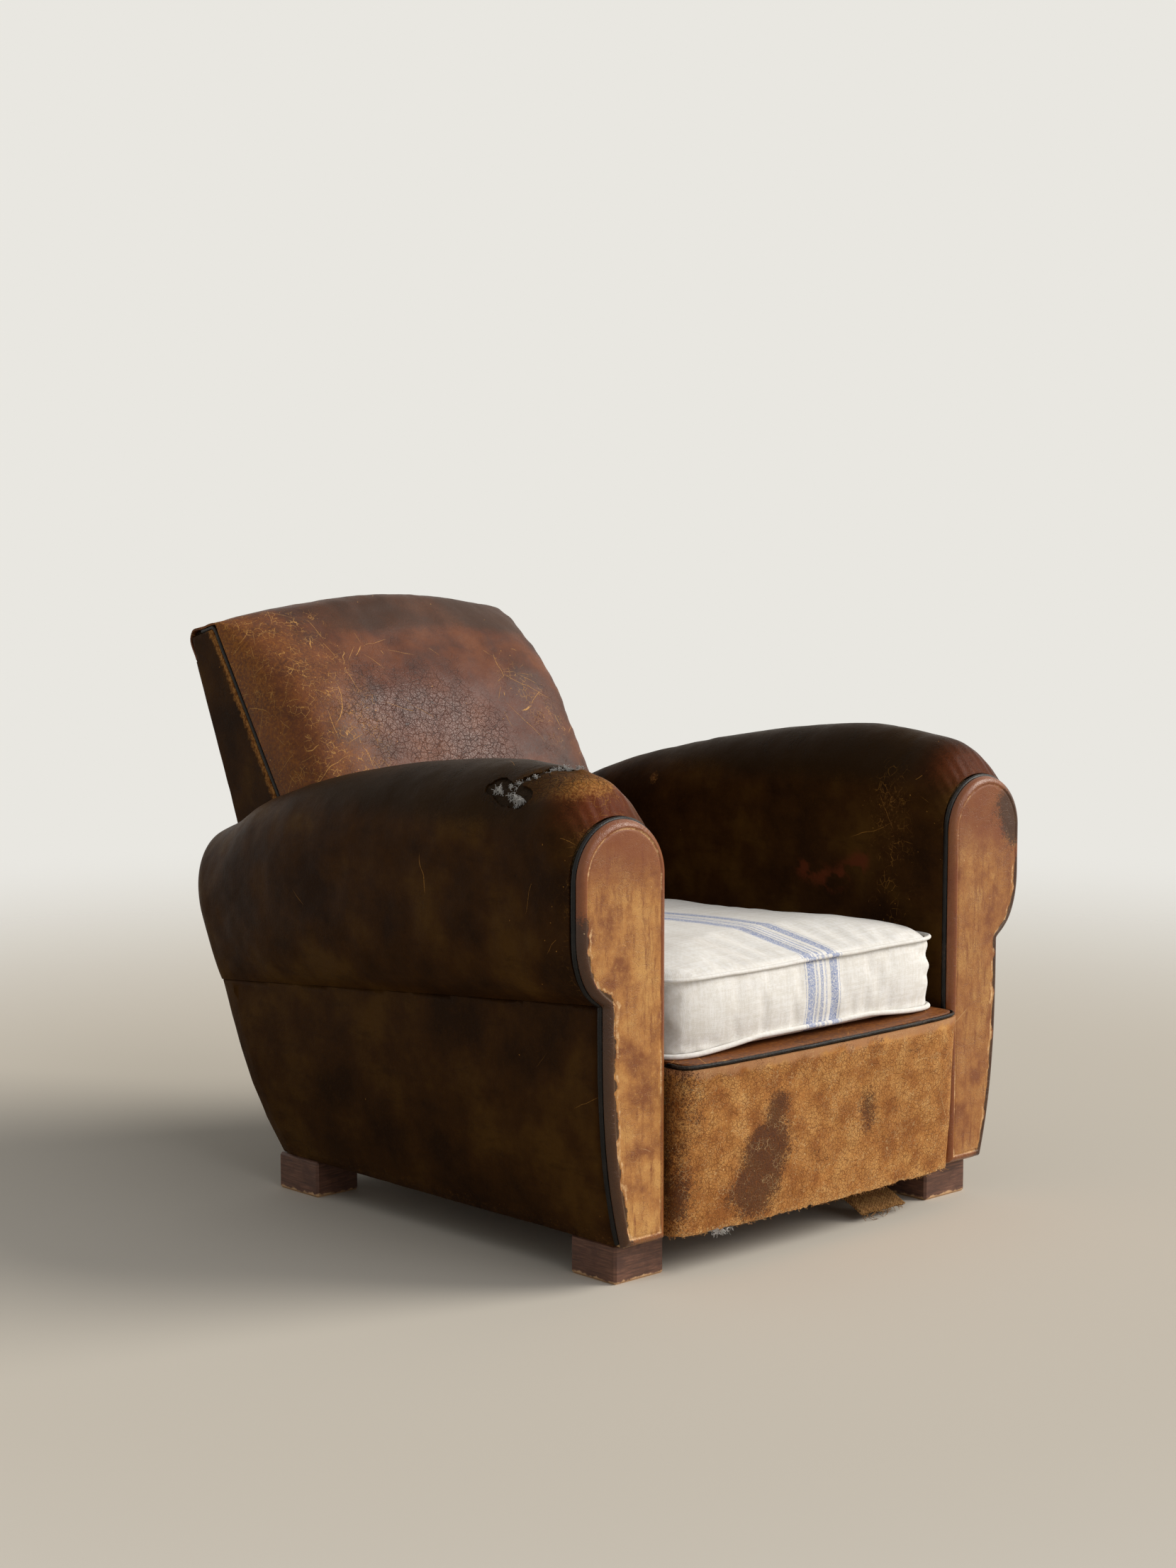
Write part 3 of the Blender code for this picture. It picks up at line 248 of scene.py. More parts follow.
def tubesPiece(name, paths, radius, sides, material, slot, replaced=(), closed=False, fields=None):
    points, faces = joinParts([tubeArrays(path, radius, sides, closed) for path in paths])
    return meshPiece(name, points, faces, material, slot, replaced, fields)


# Materials

def startMaterial(name, roughness=0.6, metallic=0.0, specular=0.5):
    material = bpy.data.materials.new(name)
    material.use_nodes = True
    tree = material.node_tree
    shader = tree.nodes["Principled BSDF"]
    shader.inputs["Roughness"].default_value = roughness
    shader.inputs["Metallic"].default_value = metallic
    shader.inputs["Specular IOR Level"].default_value = specular
    return material, tree, shader, partial(addNode, tree)


def addNode(tree, kind, *inputs, give=0, ramp=(), **settings):  # an input is a link, a value or a hex colour
    node = tree.nodes.new("ShaderNode" + kind)
    for key, value in settings.items():
        setattr(node, key, value)
    for index, entry in enumerate(inputs):
        for key, value in (entry if isinstance(entry, dict) else {index: entry}).items():
            if isinstance(value, bpy.types.NodeSocket):
                tree.links.new(value, node.inputs[key])
            else:
                node.inputs[key].default_value = toLinear(value) if isinstance(value, str) else value
    for index, (place, hexColour) in enumerate(ramp):
        elements = node.color_ramp.elements
        element = elements[index] if index < 2 else elements.new(place)
        element.position = place
        element.color = toLinear(hexColour)
    return node.outputs if give is None else node.outputs[give]


def perMetre(millimetres):  # a texture scale for a pattern of this size
    return 1000.0 / millimetres


times, plus, minus, largest = ({"operation": word} for word in ("MULTIPLY", "ADD", "SUBTRACT", "MAXIMUM"))
smooth = {"interpolation_type": "SMOOTHSTEP"}  # a range with eased ends
paint = {"data_type": "RGBA", "give": 2}  # a mix of two colours


# one short straight cut in some cells, at any angle
def scratchLayer(add, here, cellMm, widthMm, share, cut):
    cells = add("TexVoronoi", {"Scale": perMetre(cellMm), "Vector": here}, give=None)
    apart = add("VectorMath", here, cells["Position"], **minus)
    turned = add("VectorMath", cells["Color"], (0.5, 0.5, 0.5), **minus)
    across = add("VectorMath", turned, operation="NORMALIZE")
    away = add("VectorMath", apart, across, operation="DOT_PRODUCT", give="Value")
    away = add("Math", away, operation="ABSOLUTE")
    line = add("MapRange", away, widthMm * 0.001, widthMm * 0.0003, **smooth)
    line = add("Math", line, add("MapRange", cells["Distance"], 0.62, 0.30, **smooth), **times)
    chance = add("TexWhiteNoise", {"Vector": cells["Position"]})
    limit = add("Math", cut, share, **times)
    chosen = add("Math", chance, limit, operation="LESS_THAN")
    return add("Math", line, chosen, **times)


# Cowhide, drum dyed and waxed: low sheen where the wax is whole, pale and matt where the grain has worn off
def makeHide(name, look):
    material, tree, shader, add = startMaterial(name, specular=look["specular"])
    here = add("TexCoord", give="Object")

    def noise(sizeMm, detail=4.0, rough=0.6, vector=here):
        return add("TexNoise", {"Scale": perMetre(sizeMm), "Detail": detail, "Roughness": rough,
                                "Vector": vector})

    def shifted(sizeMm, reachMm):  # the place moved about by soft lumps, so that lines wander
        away = add("TexNoise", {"Scale": perMetre(sizeMm), "Detail": 3.0, "Vector": here}, give="Color")
        reach = (0.001 * reachMm,) * 3
        return add("VectorMath", away, reach, here, operation="MULTIPLY_ADD")

    def edgeLines(sizeMm, width, vector):  # thin lines between cells of this size
        away = add("TexVoronoi", {"Scale": perMetre(sizeMm), "Vector": vector}, feature="DISTANCE_TO_EDGE")
        return add("MapRange", away, width, width * 0.15, **smooth)

    warped, bent = shifted(16, 7), shifted(110, 34)
    mottle = noise(look["mottleMm"], 6.0, 0.58)
    fleck = noise(4.5, 5.0, 0.72, warped)
    fine = noise(1.6, 3.0, 0.6, warped)
    colour = add("ValToRGB", {"Fac": mottle},
                 ramp=[(0.36, look["deep"]), (0.64, look["light"]), (0.50, look["base"])])
    streaks = add("Mapping", {"Scale": look["streak"], "Vector": warped})
    streak = add("TexNoise", {"Scale": 1.0, "Detail": 6.0, "Roughness": 0.7, "Vector": streaks})
    for source, low, high, strength, tone in ((streak, 0.48, 0.72, "streaked", "deep"),
                                              (fleck, 0.50, 0.72, "flecked", "light"),
                                              (fine, 0.52, 0.70, "flecked", "deep")):
        share = add("Math", add("MapRange", source, low, high, **smooth), look[strength], **times)
        colour = add("Mix", {0: share, 6: colour, 7: look[tone]}, **paint)

    broken = add("Math", add("Math", fleck, fine, **plus), 1.0, **minus)
    broken = add("Math", broken, 0.6, **times)
    field = {}
    for key in ("rub", "stainAndShade", "ruddy", "scored", "crazed", "polish"):
        field[key] = add("Attribute", attribute_name=key, give="Fac")

    def patchy(key, ragged, low=0.30, high=0.62):  # the field's edge broken up by the grain
        uneven = add("Math", field[key], add("Math", broken, ragged, **times), **plus)
        return add("Math", add("MapRange", uneven, low, high, **smooth),
                   add("MapRange", field[key], 0.02, 0.15, **smooth), **times)

    reddened = add("Math", patchy("ruddy", 0.8, 0.1, 0.8), 0.85, **times)
    colour = add("Mix", {0: reddened, 6: colour, 7: look["ruddy"]}, **paint)
    flecks = add("MapRange", fleck, 0.38, 0.62, **smooth)
    worn = add("Mix", {0: flecks, 6: look["wornDark"], 7: look["worn"]}, **paint)
    rubbed = patchy("rub", look["ragged"], 0.22, 0.85)
    colour = add("Mix", {0: add("Math", rubbed, 0.9, **times), 6: colour, 7: worn}, **paint)
    # the stain field's colour: real stains, and on the outer rim of the arm fronts a painted shade where the
    # rim turns away from the light
    stainAndShadeClots = add("Math", patchy("stainAndShade", look["stainAndShadeClots"], 0.30, 0.66), 0.88, **times)
    colour = add("Mix", {0: stainAndShadeClots, 6: colour, 7: look["stainAndShade"]}, **paint)

    # drying cracks: the edges of wandering cells, large ones cut up by small ones
    patches = noise(40, 3.0)
    crazing = add("Math", patches, add("Math", field["crazed"], 0.42, **times), **plus)
    crazing = add("MapRange", crazing, 0.58, 0.95, **smooth)
    gaps = add("MapRange", fleck, 0.38, 0.52, **smooth)
    crack = add("Math", edgeLines(look["crackMm"], look["crackWidth"], warped), gaps, **times)
    small = add("Math", edgeLines(look["crackMm"] * 0.42, look["crackWidth"] * 1.6, warped), 0.45, **times)
    crack = add("Math", add("Math", crack, small, **largest), crazing, **times)
    share = add("Math", crack, look["crack"], **times)
    colour = add("Mix", {0: share, 6: colour, 7: look["crackColour"]}, **paint)

    # fine cuts that show the undyed core: long hairlines, a web of short ones, and specks
    cut = add("MapRange", {"To Min": look["everywhere"], "To Max": 1.0, "Value": field["scored"]})
    scratch = scratchLayer(add, bent, 26, 0.32, 0.55 * look["hairlines"], cut)
    for cellMm, widthMm, share in ((48, 0.38, 0.75 * look["hairlines"]), (85, 0.42, look["hairlines"])):
        scratch = add("Math", scratch, scratchLayer(add, bent, cellMm, widthMm, share, cut), **largest)
    web = add("Math", edgeLines(look["webMm"], 0.05, warped),
              add("MapRange", noise(19), 0.46, 0.62, **smooth), **times)
    web = add("Math", web, add("MapRange", cut, 0.30, 1.1, **smooth), **times)
    scratch = add("Math", scratch, web, **largest)
    specks = add("TexVoronoi", {"Scale": perMetre(8), "Vector": warped}, give=None)
    chance = add("TexWhiteNoise", {"Vector": specks["Position"]})
    dots = add("MapRange", specks["Distance"], 0.13, 0.07, **smooth)
    fewer = add("Math", chance, add("Math", cut, 0.35, **times), operation="LESS_THAN")
    scratch = add("Math", scratch, add("Math", dots, fewer, **times), **largest)
    scratch = add("Math", scratch, add("MapRange", fine, 0.30, 0.52, **smooth), **times)
    share = add("Math", scratch, look["scratch"], **times)
    colour = add("Mix", {0: share, 6: colour, 7: look["scratchColour"]}, **paint)
    tree.links.new(colour, shader.inputs["Base Color"])

    rough = add("Math", broken, 0.35, **times)
    rough = add("Math", rough, look["roughness"], **plus)
    rough = add("Math", rough, add("Math", rubbed, 0.22, **times), **plus)
    rough = add("Math", rough, add("Math", field["polish"], 0.20, **times), **minus)
    tree.links.new(rough, shader.inputs["Roughness"])

    grain = add("TexVoronoi", {"Scale": perMetre(1.4), "Vector": warped})
    height = add("Math", add("Math", grain, 0.14, **times), add("Math", fleck, 0.45, **times), **plus)
    height = add("Math", height, add("Math", crack, 0.55, **times), **minus)
    height = add("Math", height, add("Math", scratch, 0.20, **times), **minus)
    bump = add("Bump", {"Strength": look["bump"], "Distance": 0.0013, "Height": height})
    tree.links.new(bump, shader.inputs["Normal"])
    return material


hideLooks = {
    "patinaHide": {  # the arms and sides, blackened by hands and wax
        "deep": "#2A1809", "base": "#3C240D", "light": "#4E3413", "worn": "#B07C44",
        "wornDark": "#74451F", "ruddy": "#63301A", "stainAndShade": "#291A09", "scratch": 0.7,
        "scratchColour": "#B07C38", "everywhere": 0.006, "crack": 0.8, "crackColour": "#100904",
        "mottleMm": 110, "crackMm": 10.0, "crackWidth": 0.075, "webMm": 11, "roughness": 0.46,
        "bump": 0.6, "specular": 0.03, "streak": (40, 14, 60), "streaked": 0.45, "flecked": 0.22,
        "ragged": 1.1, "stainAndShadeClots": 0.5, "hairlines": 0.5},
    "saddleHide": {  # the inner back, polished by use
        "deep": "#3A1B0A", "base": "#572B12", "light": "#6B3918", "worn": "#A2662A",
        "wornDark": "#74421A", "ruddy": "#5E2A18", "stainAndShade": "#37200F", "scratch": 0.9,
        "scratchColour": "#D09A50", "everywhere": 0.05, "crack": 0.75, "crackColour": "#24100A",
        "mottleMm": 70, "crackMm": 11.0, "crackWidth": 0.055, "webMm": 9, "roughness": 0.50, "bump": 0.65,
        "specular": 0.24, "streak": (30, 50, 22), "streaked": 0.5, "flecked": 0.30, "ragged": 0.9,
        "stainAndShadeClots": 0.4, "hairlines": 1.3},
    "honeyHide": {  # the arm fronts, rubbed to the tan under the dye
        "deep": "#804A22", "base": "#AE763C", "light": "#C59252", "worn": "#DDB483",
        # its stain colour is also the painted shade on the outer rim of the arm fronts, as well as real
        # smudges
        "wornDark": "#BC8A55", "ruddy": "#7B4020", "stainAndShade": "#35200F", "scratch": 0.6,
        "scratchColour": "#E6C590", "everywhere": 0.02, "crack": 0.30, "crackColour": "#7A4A24",
        "mottleMm": 45, "crackMm": 8.0, "crackWidth": 0.06, "webMm": 20, "roughness": 0.50, "bump": 0.55,
        "specular": 0.40, "streak": (130, 130, 18), "streaked": 1.0, "flecked": 0.5, "ragged": 1.2,
        "stainAndShadeClots": 1.5, "hairlines": 0.3},
    "suedeHide": {  # the seat front, worn through its grain to a suede nap
        "deep": "#9A5E27", "base": "#BC8040", "light": "#D09A58", "worn": "#DDB77E",
        "wornDark": "#B07A3C", "ruddy": "#B07F58", "stainAndShade": "#35160A", "scratch": 0.75,
        "scratchColour": "#E8C891", "everywhere": 0.5, "crack": 0.78, "crackColour": "#74400F",
        "mottleMm": 30, "crackMm": 5.6, "crackWidth": 0.13, "webMm": 6, "roughness": 0.68, "bump": 0.9,
        "specular": 0.25, "streak": (60, 60, 45), "streaked": 0.35, "flecked": 0.75, "ragged": 1.4,
        "stainAndShadeClots": 2.4, "hairlines": 0.06},
    "cordHide": {  # black hide over cord, its crown rubbed grey
        "deep": "#070605", "base": "#100D0B", "light": "#1A1613", "worn": "#5A4A3C",
        "wornDark": "#2C231C", "ruddy": "#4A2A1C", "stainAndShade": "#050505", "scratch": 0.3,
        "scratchColour": "#6E6256", "everywhere": 0.05, "crack": 0.70, "crackColour": "#030303",
        "mottleMm": 25, "crackMm": 6.0, "crackWidth": 0.09, "webMm": 9, "roughness": 0.32, "bump": 0.5,
        "specular": 0.22, "streak": (60, 60, 60), "streaked": 0.3, "flecked": 0.2, "ragged": 1.2,
        "stainAndShadeClots": 1.0, "hairlines": 0.5},
}
hides = {name: makeHide(name, look) for name, look in hideLooks.items()}


# Linen, plain woven and washed: matt, with slubs; the stripe is dyed weft
linenLook = {"threadMm": 1.5, "slubMm": 14, "stripeMiddle": 0.014, "stripeWidth": 0.068,
             "cloth": "#F3F1ED", "shade": "#E6E2DA", "blue": "#7C8CB8", "paleBlue": "#A3AECB"}


def makeLinen(look):
    material, tree, shader, add = startMaterial("washedLinen", roughness=0.92, specular=0.25)
    here = add("TexCoord", give="Object")
    apart = add("SeparateXYZ", {"Vector": here}, give=None)
    waves = []
    for axis in range(3):
        angle = add("Math", apart[axis], 2 * math.pi * perMetre(look["threadMm"]), **times)
        waves.append(add("Math", angle, operation="SINE"))
    weave = add("Math", add("Math", waves[0], waves[1], **times),
                add("Math", waves[2], add("Math", waves[0], waves[1], **plus), **times), **plus)
    slubs = None
    for scale in ((12, 260, 260), (260, 12, 260), (260, 260, 12)):
        run = add("Mapping", {"Scale": scale, "Vector": here})
        noise = add("TexNoise", {"Scale": 1.0, "Detail": 3.0, "Vector": run})
        slubs = noise if slubs is None else add("Math", slubs, noise, **plus)
    slubs = add("Math", slubs, 0.3333, **times)
    cloth = add("Mix", {0: add("MapRange", slubs, 0.38, 0.62, **smooth), 6: look["shade"], 7: look["cloth"]},
                **paint)

    across = add("Math", apart[0], look["stripeMiddle"] - look["stripeWidth"] / 2, **minus)
    across = add("Math", across, look["stripeWidth"], operation="DIVIDE")
    wobble = add("TexNoise", {"Scale": perMetre(9), "Detail": 2.0, "Vector": here})
    across = add("Math", across, add("Math", add("Math", wobble, 0.5, **minus), 0.02, **times), **plus)
    dyed = None
    for middle, width, strength in ((0.02, 0.018, 0.75), (0.17, 0.20, 0.95), (0.335, 0.05, 0.7),
                                    (0.47, 0.09, 0.85),
                                    (0.60, 0.05, 0.6), (0.83, 0.20, 0.95), (0.985, 0.018, 0.75)):
        away = add("Math", add("Math", across, middle, **minus), operation="ABSOLUTE")
        band = add("Math", add("MapRange", away, width / 2 + 0.012, width / 2 - 0.008, **smooth), strength,
                   **times)
        dyed = band if dyed is None else add("Math", dyed, band, **largest)
    speckle = add("TexNoise", {"Scale": perMetre(1.6), "Detail": 2.0, "Vector": here})
    dyed = add("Math", dyed, add("MapRange", speckle, 0.25, 0.60, **smooth), **times)
    blue = add("Mix", {0: add("MapRange", slubs, 0.4, 0.6, **smooth), 6: look["paleBlue"], 7: look["blue"]},
               **paint)
    colour = add("Mix", {0: dyed, 6: cloth, 7: blue}, **paint)
    # painted shade with a brown bounce on the cushion's left end, plus faint random soiling, read from the
    # stain field
    soilAndShade = add("Attribute", attribute_name="stainAndShade", give="Fac")
    colour = add("Mix", {0: soilAndShade, 6: colour, 7: "#8C7458"}, **paint)
    tree.links.new(colour, shader.inputs["Base Color"])
    height = add("Math", add("Math", weave, 0.25, **times), slubs, **plus)
    bump = add("Bump", {"Strength": 0.45, "Distance": 0.0006, "Height": height})
    tree.links.new(bump, shader.inputs["Normal"])
    return material


linen = makeLinen(linenLook)


# Timber, planed or stained: fibres run along one axis
def makeTimber(name, look):
    material, tree, shader, add = startMaterial(name, roughness=look["roughness"])
    here = add("TexCoord", give="Object")
    run = add("Mapping", {"Scale": look["fibre"], "Vector": here})
    fibre = add("TexNoise", {"Scale": 1.0, "Detail": 7.0, "Roughness": 0.65, "Vector": run})
    colour = add("ValToRGB", {"Fac": fibre},
                 ramp=[(0.32, look["deep"]), (0.68, look["light"]), (0.5, look["base"])])
    blotch = add("TexNoise", {"Scale": perMetre(22), "Detail": 5.0, "Vector": here})
    colour = add("Mix", {0: add("MapRange", blotch, 0.45, 0.70, **smooth), 6: colour, 7: look["blotch"]},
                 **paint)
    height = add("SeparateXYZ", {"Vector": here}, give=2)
    knock = add("TexNoise", {"Scale": perMetre(12), "Detail": 5.0, "Vector": here})
    height = add("Math", height, add("Math", knock, look["chipReach"], **times), **minus)
    colour = add("Mix", {0: add("MapRange", height, -0.003, -0.006, **smooth), 6: colour, 7: look["bare"]},
                 **paint)
    tree.links.new(colour, shader.inputs["Base Color"])
    bump = add("Bump", {"Strength": 0.4, "Distance": 0.0008, "Height": fibre})
    tree.links.new(bump, shader.inputs["Normal"])
    return material


stainedBeech = makeTimber("stainedBeech", {  # block feet, dark spirit stain, scuffed
    "deep": "#3E251B", "base": "#5E3C2C", "light": "#7A5340", "blotch": "#4A2C20", "bare": "#C79E73",
    "fibre": (30, 30, 420), "chipReach": 0.016, "roughness": 0.55})
sawnBeech = makeTimber("sawnBeech", {  # hidden frame, unfinished
    "deep": "#8F6840", "base": "#B08A5C", "light": "#C7A477", "blotch": "#9C764B", "bare": "#C7A477",
    "fibre": (300, 30, 300), "chipReach": 0.0, "roughness": 0.75})


# Jute, coarse woven: thick threads under and over each other
def makeJute(name, look):
    material, tree, shader, add = startMaterial(name, roughness=0.95, specular=0.2)
    here = add("TexCoord", give="Object")
    apart = add("SeparateXYZ", {"Vector": here}, give=None)
    waves = [add("Math", add("Math", apart[axis], 2 * math.pi * perMetre(size), **times), operation="SINE")
             for axis, size in ((0, look["threadMm"]), (1, look["threadMm"] * 1.15))]
    weave = add("Math", waves[0], waves[1], **times)
    ribs = add("Mapping", {"Scale": (420, 60, 420), "Vector": here})
    hairs = add("TexNoise", {"Scale": 1.0, "Detail": 5.0, "Vector": ribs})
    tone = add("Math", add("Math", weave, 0.16, **times), hairs, **plus)
    colour = add("ValToRGB", {"Fac": tone},
                 ramp=[(0.30, look["deep"]), (0.72, look["light"]), (0.5, look["base"])])
    tree.links.new(colour, shader.inputs["Base Color"])
    bump = add("Bump", {"Strength": 0.9, "Distance": 0.0012, "Height": add("Math", weave, hairs, **plus)})
    tree.links.new(bump, shader.inputs["Normal"])
    return material


juteWebbing = makeJute("juteWebbing",
                       {"deep": "#5E3D1E", "base": "#94693A", "light": "#BC8F58", "threadMm": 3.2})
hessianCloth = makeJute("hessianCloth",
                        {"deep": "#6B4A28", "base": "#94703F", "light": "#B59562", "threadMm": 2.6})


def makeLoose(name, deep, light, sizeMm):  # loose fibre: hair or cotton wadding
    material, tree, shader, add = startMaterial(name, roughness=1.0, specular=0.1)
    here = add("TexCoord", give="Object")
    fibre = add("TexNoise", {"Scale": perMetre(sizeMm), "Detail": 8.0, "Roughness": 0.75, "Distortion": 2.0,
                             "Vector": here})
    colour = add("ValToRGB", {"Fac": fibre}, ramp=[(0.35, deep), (0.65, light)])
    tree.links.new(colour, shader.inputs["Base Color"])
    bump = add("Bump", {"Strength": 1.0, "Distance": 0.003, "Height": fibre})
    tree.links.new(bump, shader.inputs["Normal"])
    return material


curledHair = makeLoose("curledHair", "#1E150E", "#4B3A29", 4)
cottonWadding = makeLoose("cottonWadding", "#B9B4AC", "#F6F4F0", 3)


def makeSteel():  # drawn spring wire, dulled
    material, tree, shader, add = startMaterial("drawnSteel", roughness=0.45, metallic=1.0)
    here = add("TexCoord", give="Object")
    rust = add("TexNoise", {"Scale": perMetre(6), "Detail": 6.0, "Vector": here})
    colour = add("ValToRGB", {"Fac": rust}, ramp=[(0.45, "#6F6C68"), (0.62, "#5A3F2C")])
    tree.links.new(colour, shader.inputs["Base Color"])
    return material


drawnSteel = makeSteel()


def makeBrass():  # tack heads, browned
    material, tree, shader, add = startMaterial("agedBrass", roughness=0.42, metallic=1.0)
    here = add("TexCoord", give="Object")
    dirt = add("TexNoise", {"Scale": perMetre(4), "Detail": 4.0, "Vector": here})
    colour = add("ValToRGB", {"Fac": dirt}, ramp=[(0.40, "#4B3822"), (0.65, "#8A6B3C")])
    tree.links.new(colour, shader.inputs["Base Color"])
    return material


agedBrass = makeBrass()
print("materials made")


# Hidden pieces keep their CAD shape and get their finish

finishes = (
    (sawnBeech, ("front_rail", "rear_rail", "side_rail", "front_post", "back_post", "arm_stump", "arm_rail",
                 "back_top_rail", "back_lower_rail")),
    (juteWebbing, ("long_webbing", "cross_webbing")),
    (hessianCloth, ("spring_hessian", "back_hessian")),
    (drawnSteel, ("seat_spring",)),
    (curledHair, ("seat_padding", "back_padding", "arm_padding")),
    (hides["suedeHide"], ("front_cover",)),
    (hides["patinaHide"], ("back_facing", "outside_back", "side_panel", "arm_cover", "deck_cover")),
    (hides["cordHide"], ("front_piping", "arm_piping", "back_piping")),
    (hides["honeyHide"], ("arm_front",)),
    (hides["saddleHide"], ("back_cover",)),
    (linen, ("seat_cushion", "cushion_welt")),
    (stainedBeech, ("front_foot", "rear_foot")),
)
for material, starts in finishes:
    for name, node in nodes.items():
        if name.startswith(starts):
            node.data.materials.clear()
            node.data.materials.append(material)
print("CAD pieces finished")


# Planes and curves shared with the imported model, all in metres
hideThickness = 0.003
gap = 0.0003
innerX = 0.271
seamX = 0.371
footZ = 0.1306
rollTopZ, rollX, seamFrontZ, waistShare, notchDrop = 0.635, 0.422, 0.360, 0.37, 0.008
backX, backTopZ, rearTopZ, rearRake = 0.270, 0.764, 0.750, 0.42
armStations = (  # share of the way back, drop of the crest, crest x, narrowing, outer drop, inner drop
    (0.000, 0.0555, 0.343, 0.004, 0.072, 0.068), (0.030, 0.024, 0.341, 0.002, 0.085, 0.078),
    (0.100, 0.006, 0.338, 0.000, 0.095, 0.084), (0.175, 0.000, 0.336, 0.000, 0.100, 0.086),
    (0.330, 0.011, 0.334, 0.001, 0.102, 0.084), (0.500, 0.034, 0.332, 0.004, 0.102, 0.080),
    (0.680, 0.068, 0.325, 0.012, 0.104, 0.070), (0.820, 0.104, 0.312, 0.024, 0.108, 0.055),
    (0.920, 0.136, 0.298, 0.037, 0.110, 0.040), (1.000, 0.156, 0.288, 0.046, 0.110, 0.030))


def rearY(z, inside=0.0):
    return setback(0.690 + rearRake * (z - 0.050) - inside)


def backLineY(z):
    return setback(0.774 + 0.636 * (z - 0.528))


def seamHeight(share):
    return seamFrontZ - 0.068 * share


def between(table, places):  # smooth values between the rows of a table, whose first column is the place
    table = np.asarray(table, float)
    key, values = table[:, 0], table[:, 1:]
    slopes = np.gradient(values, key, axis=0)
    places = np.atleast_1d(places)
    i = np.clip(np.searchsorted(key, places) - 1, 0, len(key) - 2)
    length = (key[i + 1] - key[i])[:, None]
    t = (places - key[i])[:, None] / length
    return ((2 * t**3 - 3 * t**2 + 1) * values[i] + (t**3 - 2 * t**2 + t) * length * slopes[i]
            + (3 * t**2 - 2 * t**3) * values[i + 1] + (t**3 - t**2) * length * slopes[i + 1])


def mirrored(grid, side):  # the left-hand grid, or its mirror with the same outside
    return grid if side > 0 else grid[:, ::-1] * np.array([-1, 1, 1])


# The arms' rolls: hide over hair, dented by use, puckered where it is nailed behind the piping
armLook = {"lump": 0.0016, "dent": 0.0006, "pucker": 0.0008, "puckerEvery": 0.017, "puckerReach": 0.020}
tearLine = [(-0.393, -0.306, 0.606), (-0.399, -0.328, 0.600), (-0.398, -0.350, 0.599)]
slitLine = [(-0.392, -0.330, 0.606), (-0.372, -0.350, 0.619), (-0.350, -0.356, 0.626),
            (-0.334, -0.385, 0.631)]


def underRoll(outerX, waistZ, seamZ, steps):  # the turn in from the waist to the notched seam
    under = quarterTurn((seamX, waistZ), (outerX, waistZ), (seamX, seamZ), steps)
    under[:, 1] -= notchDrop * np.linspace(0, 1, steps + 1) ** 6
    return under


def armSection(share):
    drop, crestX, narrow, outerDrop, innerDrop = between(armStations, share)[0]
    crestZ, outerX, seamZ = rollTopZ - drop, rollX - narrow, seamHeight(share)
    waistZ = seamZ + (crestZ - seamZ) * waistShare
    shoulderZ, outerZ = crestZ - innerDrop, crestZ - outerDrop
    under = underRoll(outerX, waistZ, seamZ, 36)
    return np.vstack([
        np.linspace((innerX, footZ), (innerX, 0.36), 12, endpoint=False),
        np.linspace((innerX, 0.36), (innerX, shoulderZ), 40, endpoint=False),
        quarterTurn((crestX, shoulderZ), (innerX, shoulderZ), (crestX, crestZ), 40)[:-1],
        quarterTurn((crestX, outerZ), (crestX, crestZ), (outerX, outerZ), 62)[:-1],
        np.linspace((outerX, outerZ), (outerX, waistZ), 14, endpoint=False), under])


def armPoint(line, share):
    start = setback(0.0186)
    z = np.maximum(line[:, 1], footZ)
    y = start + share * (rearY(z, hideThickness + gap) - start)
    return np.stack([line[:, 0], y, z], axis=1)


def armGrid():
    rows = [armPoint(armSection(share), share) for share in np.linspace(0, 0.19, 64, endpoint=False)]
    rows += [armPoint(armSection(share), share) for share in np.linspace(0.19, 0.975, 112)]
    for turn in np.linspace(0.2, 1, 6) * math.pi / 2:
        share = 0.978 + 0.022 * math.sin(turn)
        rows.append(armPoint(offsetLine(armSection(share), 0.012 * (1 - math.cos(turn))), share))
    rows.append(armPoint(offsetLine(armSection(1.0), 0.022), 1.0))
    return np.array(rows)


def dented(grid, lump, dent, seed, keep):  # soft lumps and small dents, fading where keep is 0
    normal = surfaceNormals(grid)
    depth = lump * roughNoise(grid, 0.11, seed) + dent * roughNoise(grid, 0.028, seed + 3)
    return grid + normal * (depth * keep)[..., None]


def edgeFade(grid, reach):  # 0 on the grid's edges, 1 past the reach
    rows = runOf(grid.mean(1))
    columns = runOf(grid.mean(0))
    rows = np.minimum(rows, rows[-1] - rows)
    columns = np.minimum(columns, columns[-1] - columns)
    return blendStep(0, reach, np.minimum(rows[:, None], columns[None, :]))


def cornersOf(cells):  # the grid's points that any of these cells touches
    wide = np.pad(cells, 1)
    return wide[:-1, :-1] | wide[1:, :-1] | wide[:-1, 1:] | wide[1:, 1:]


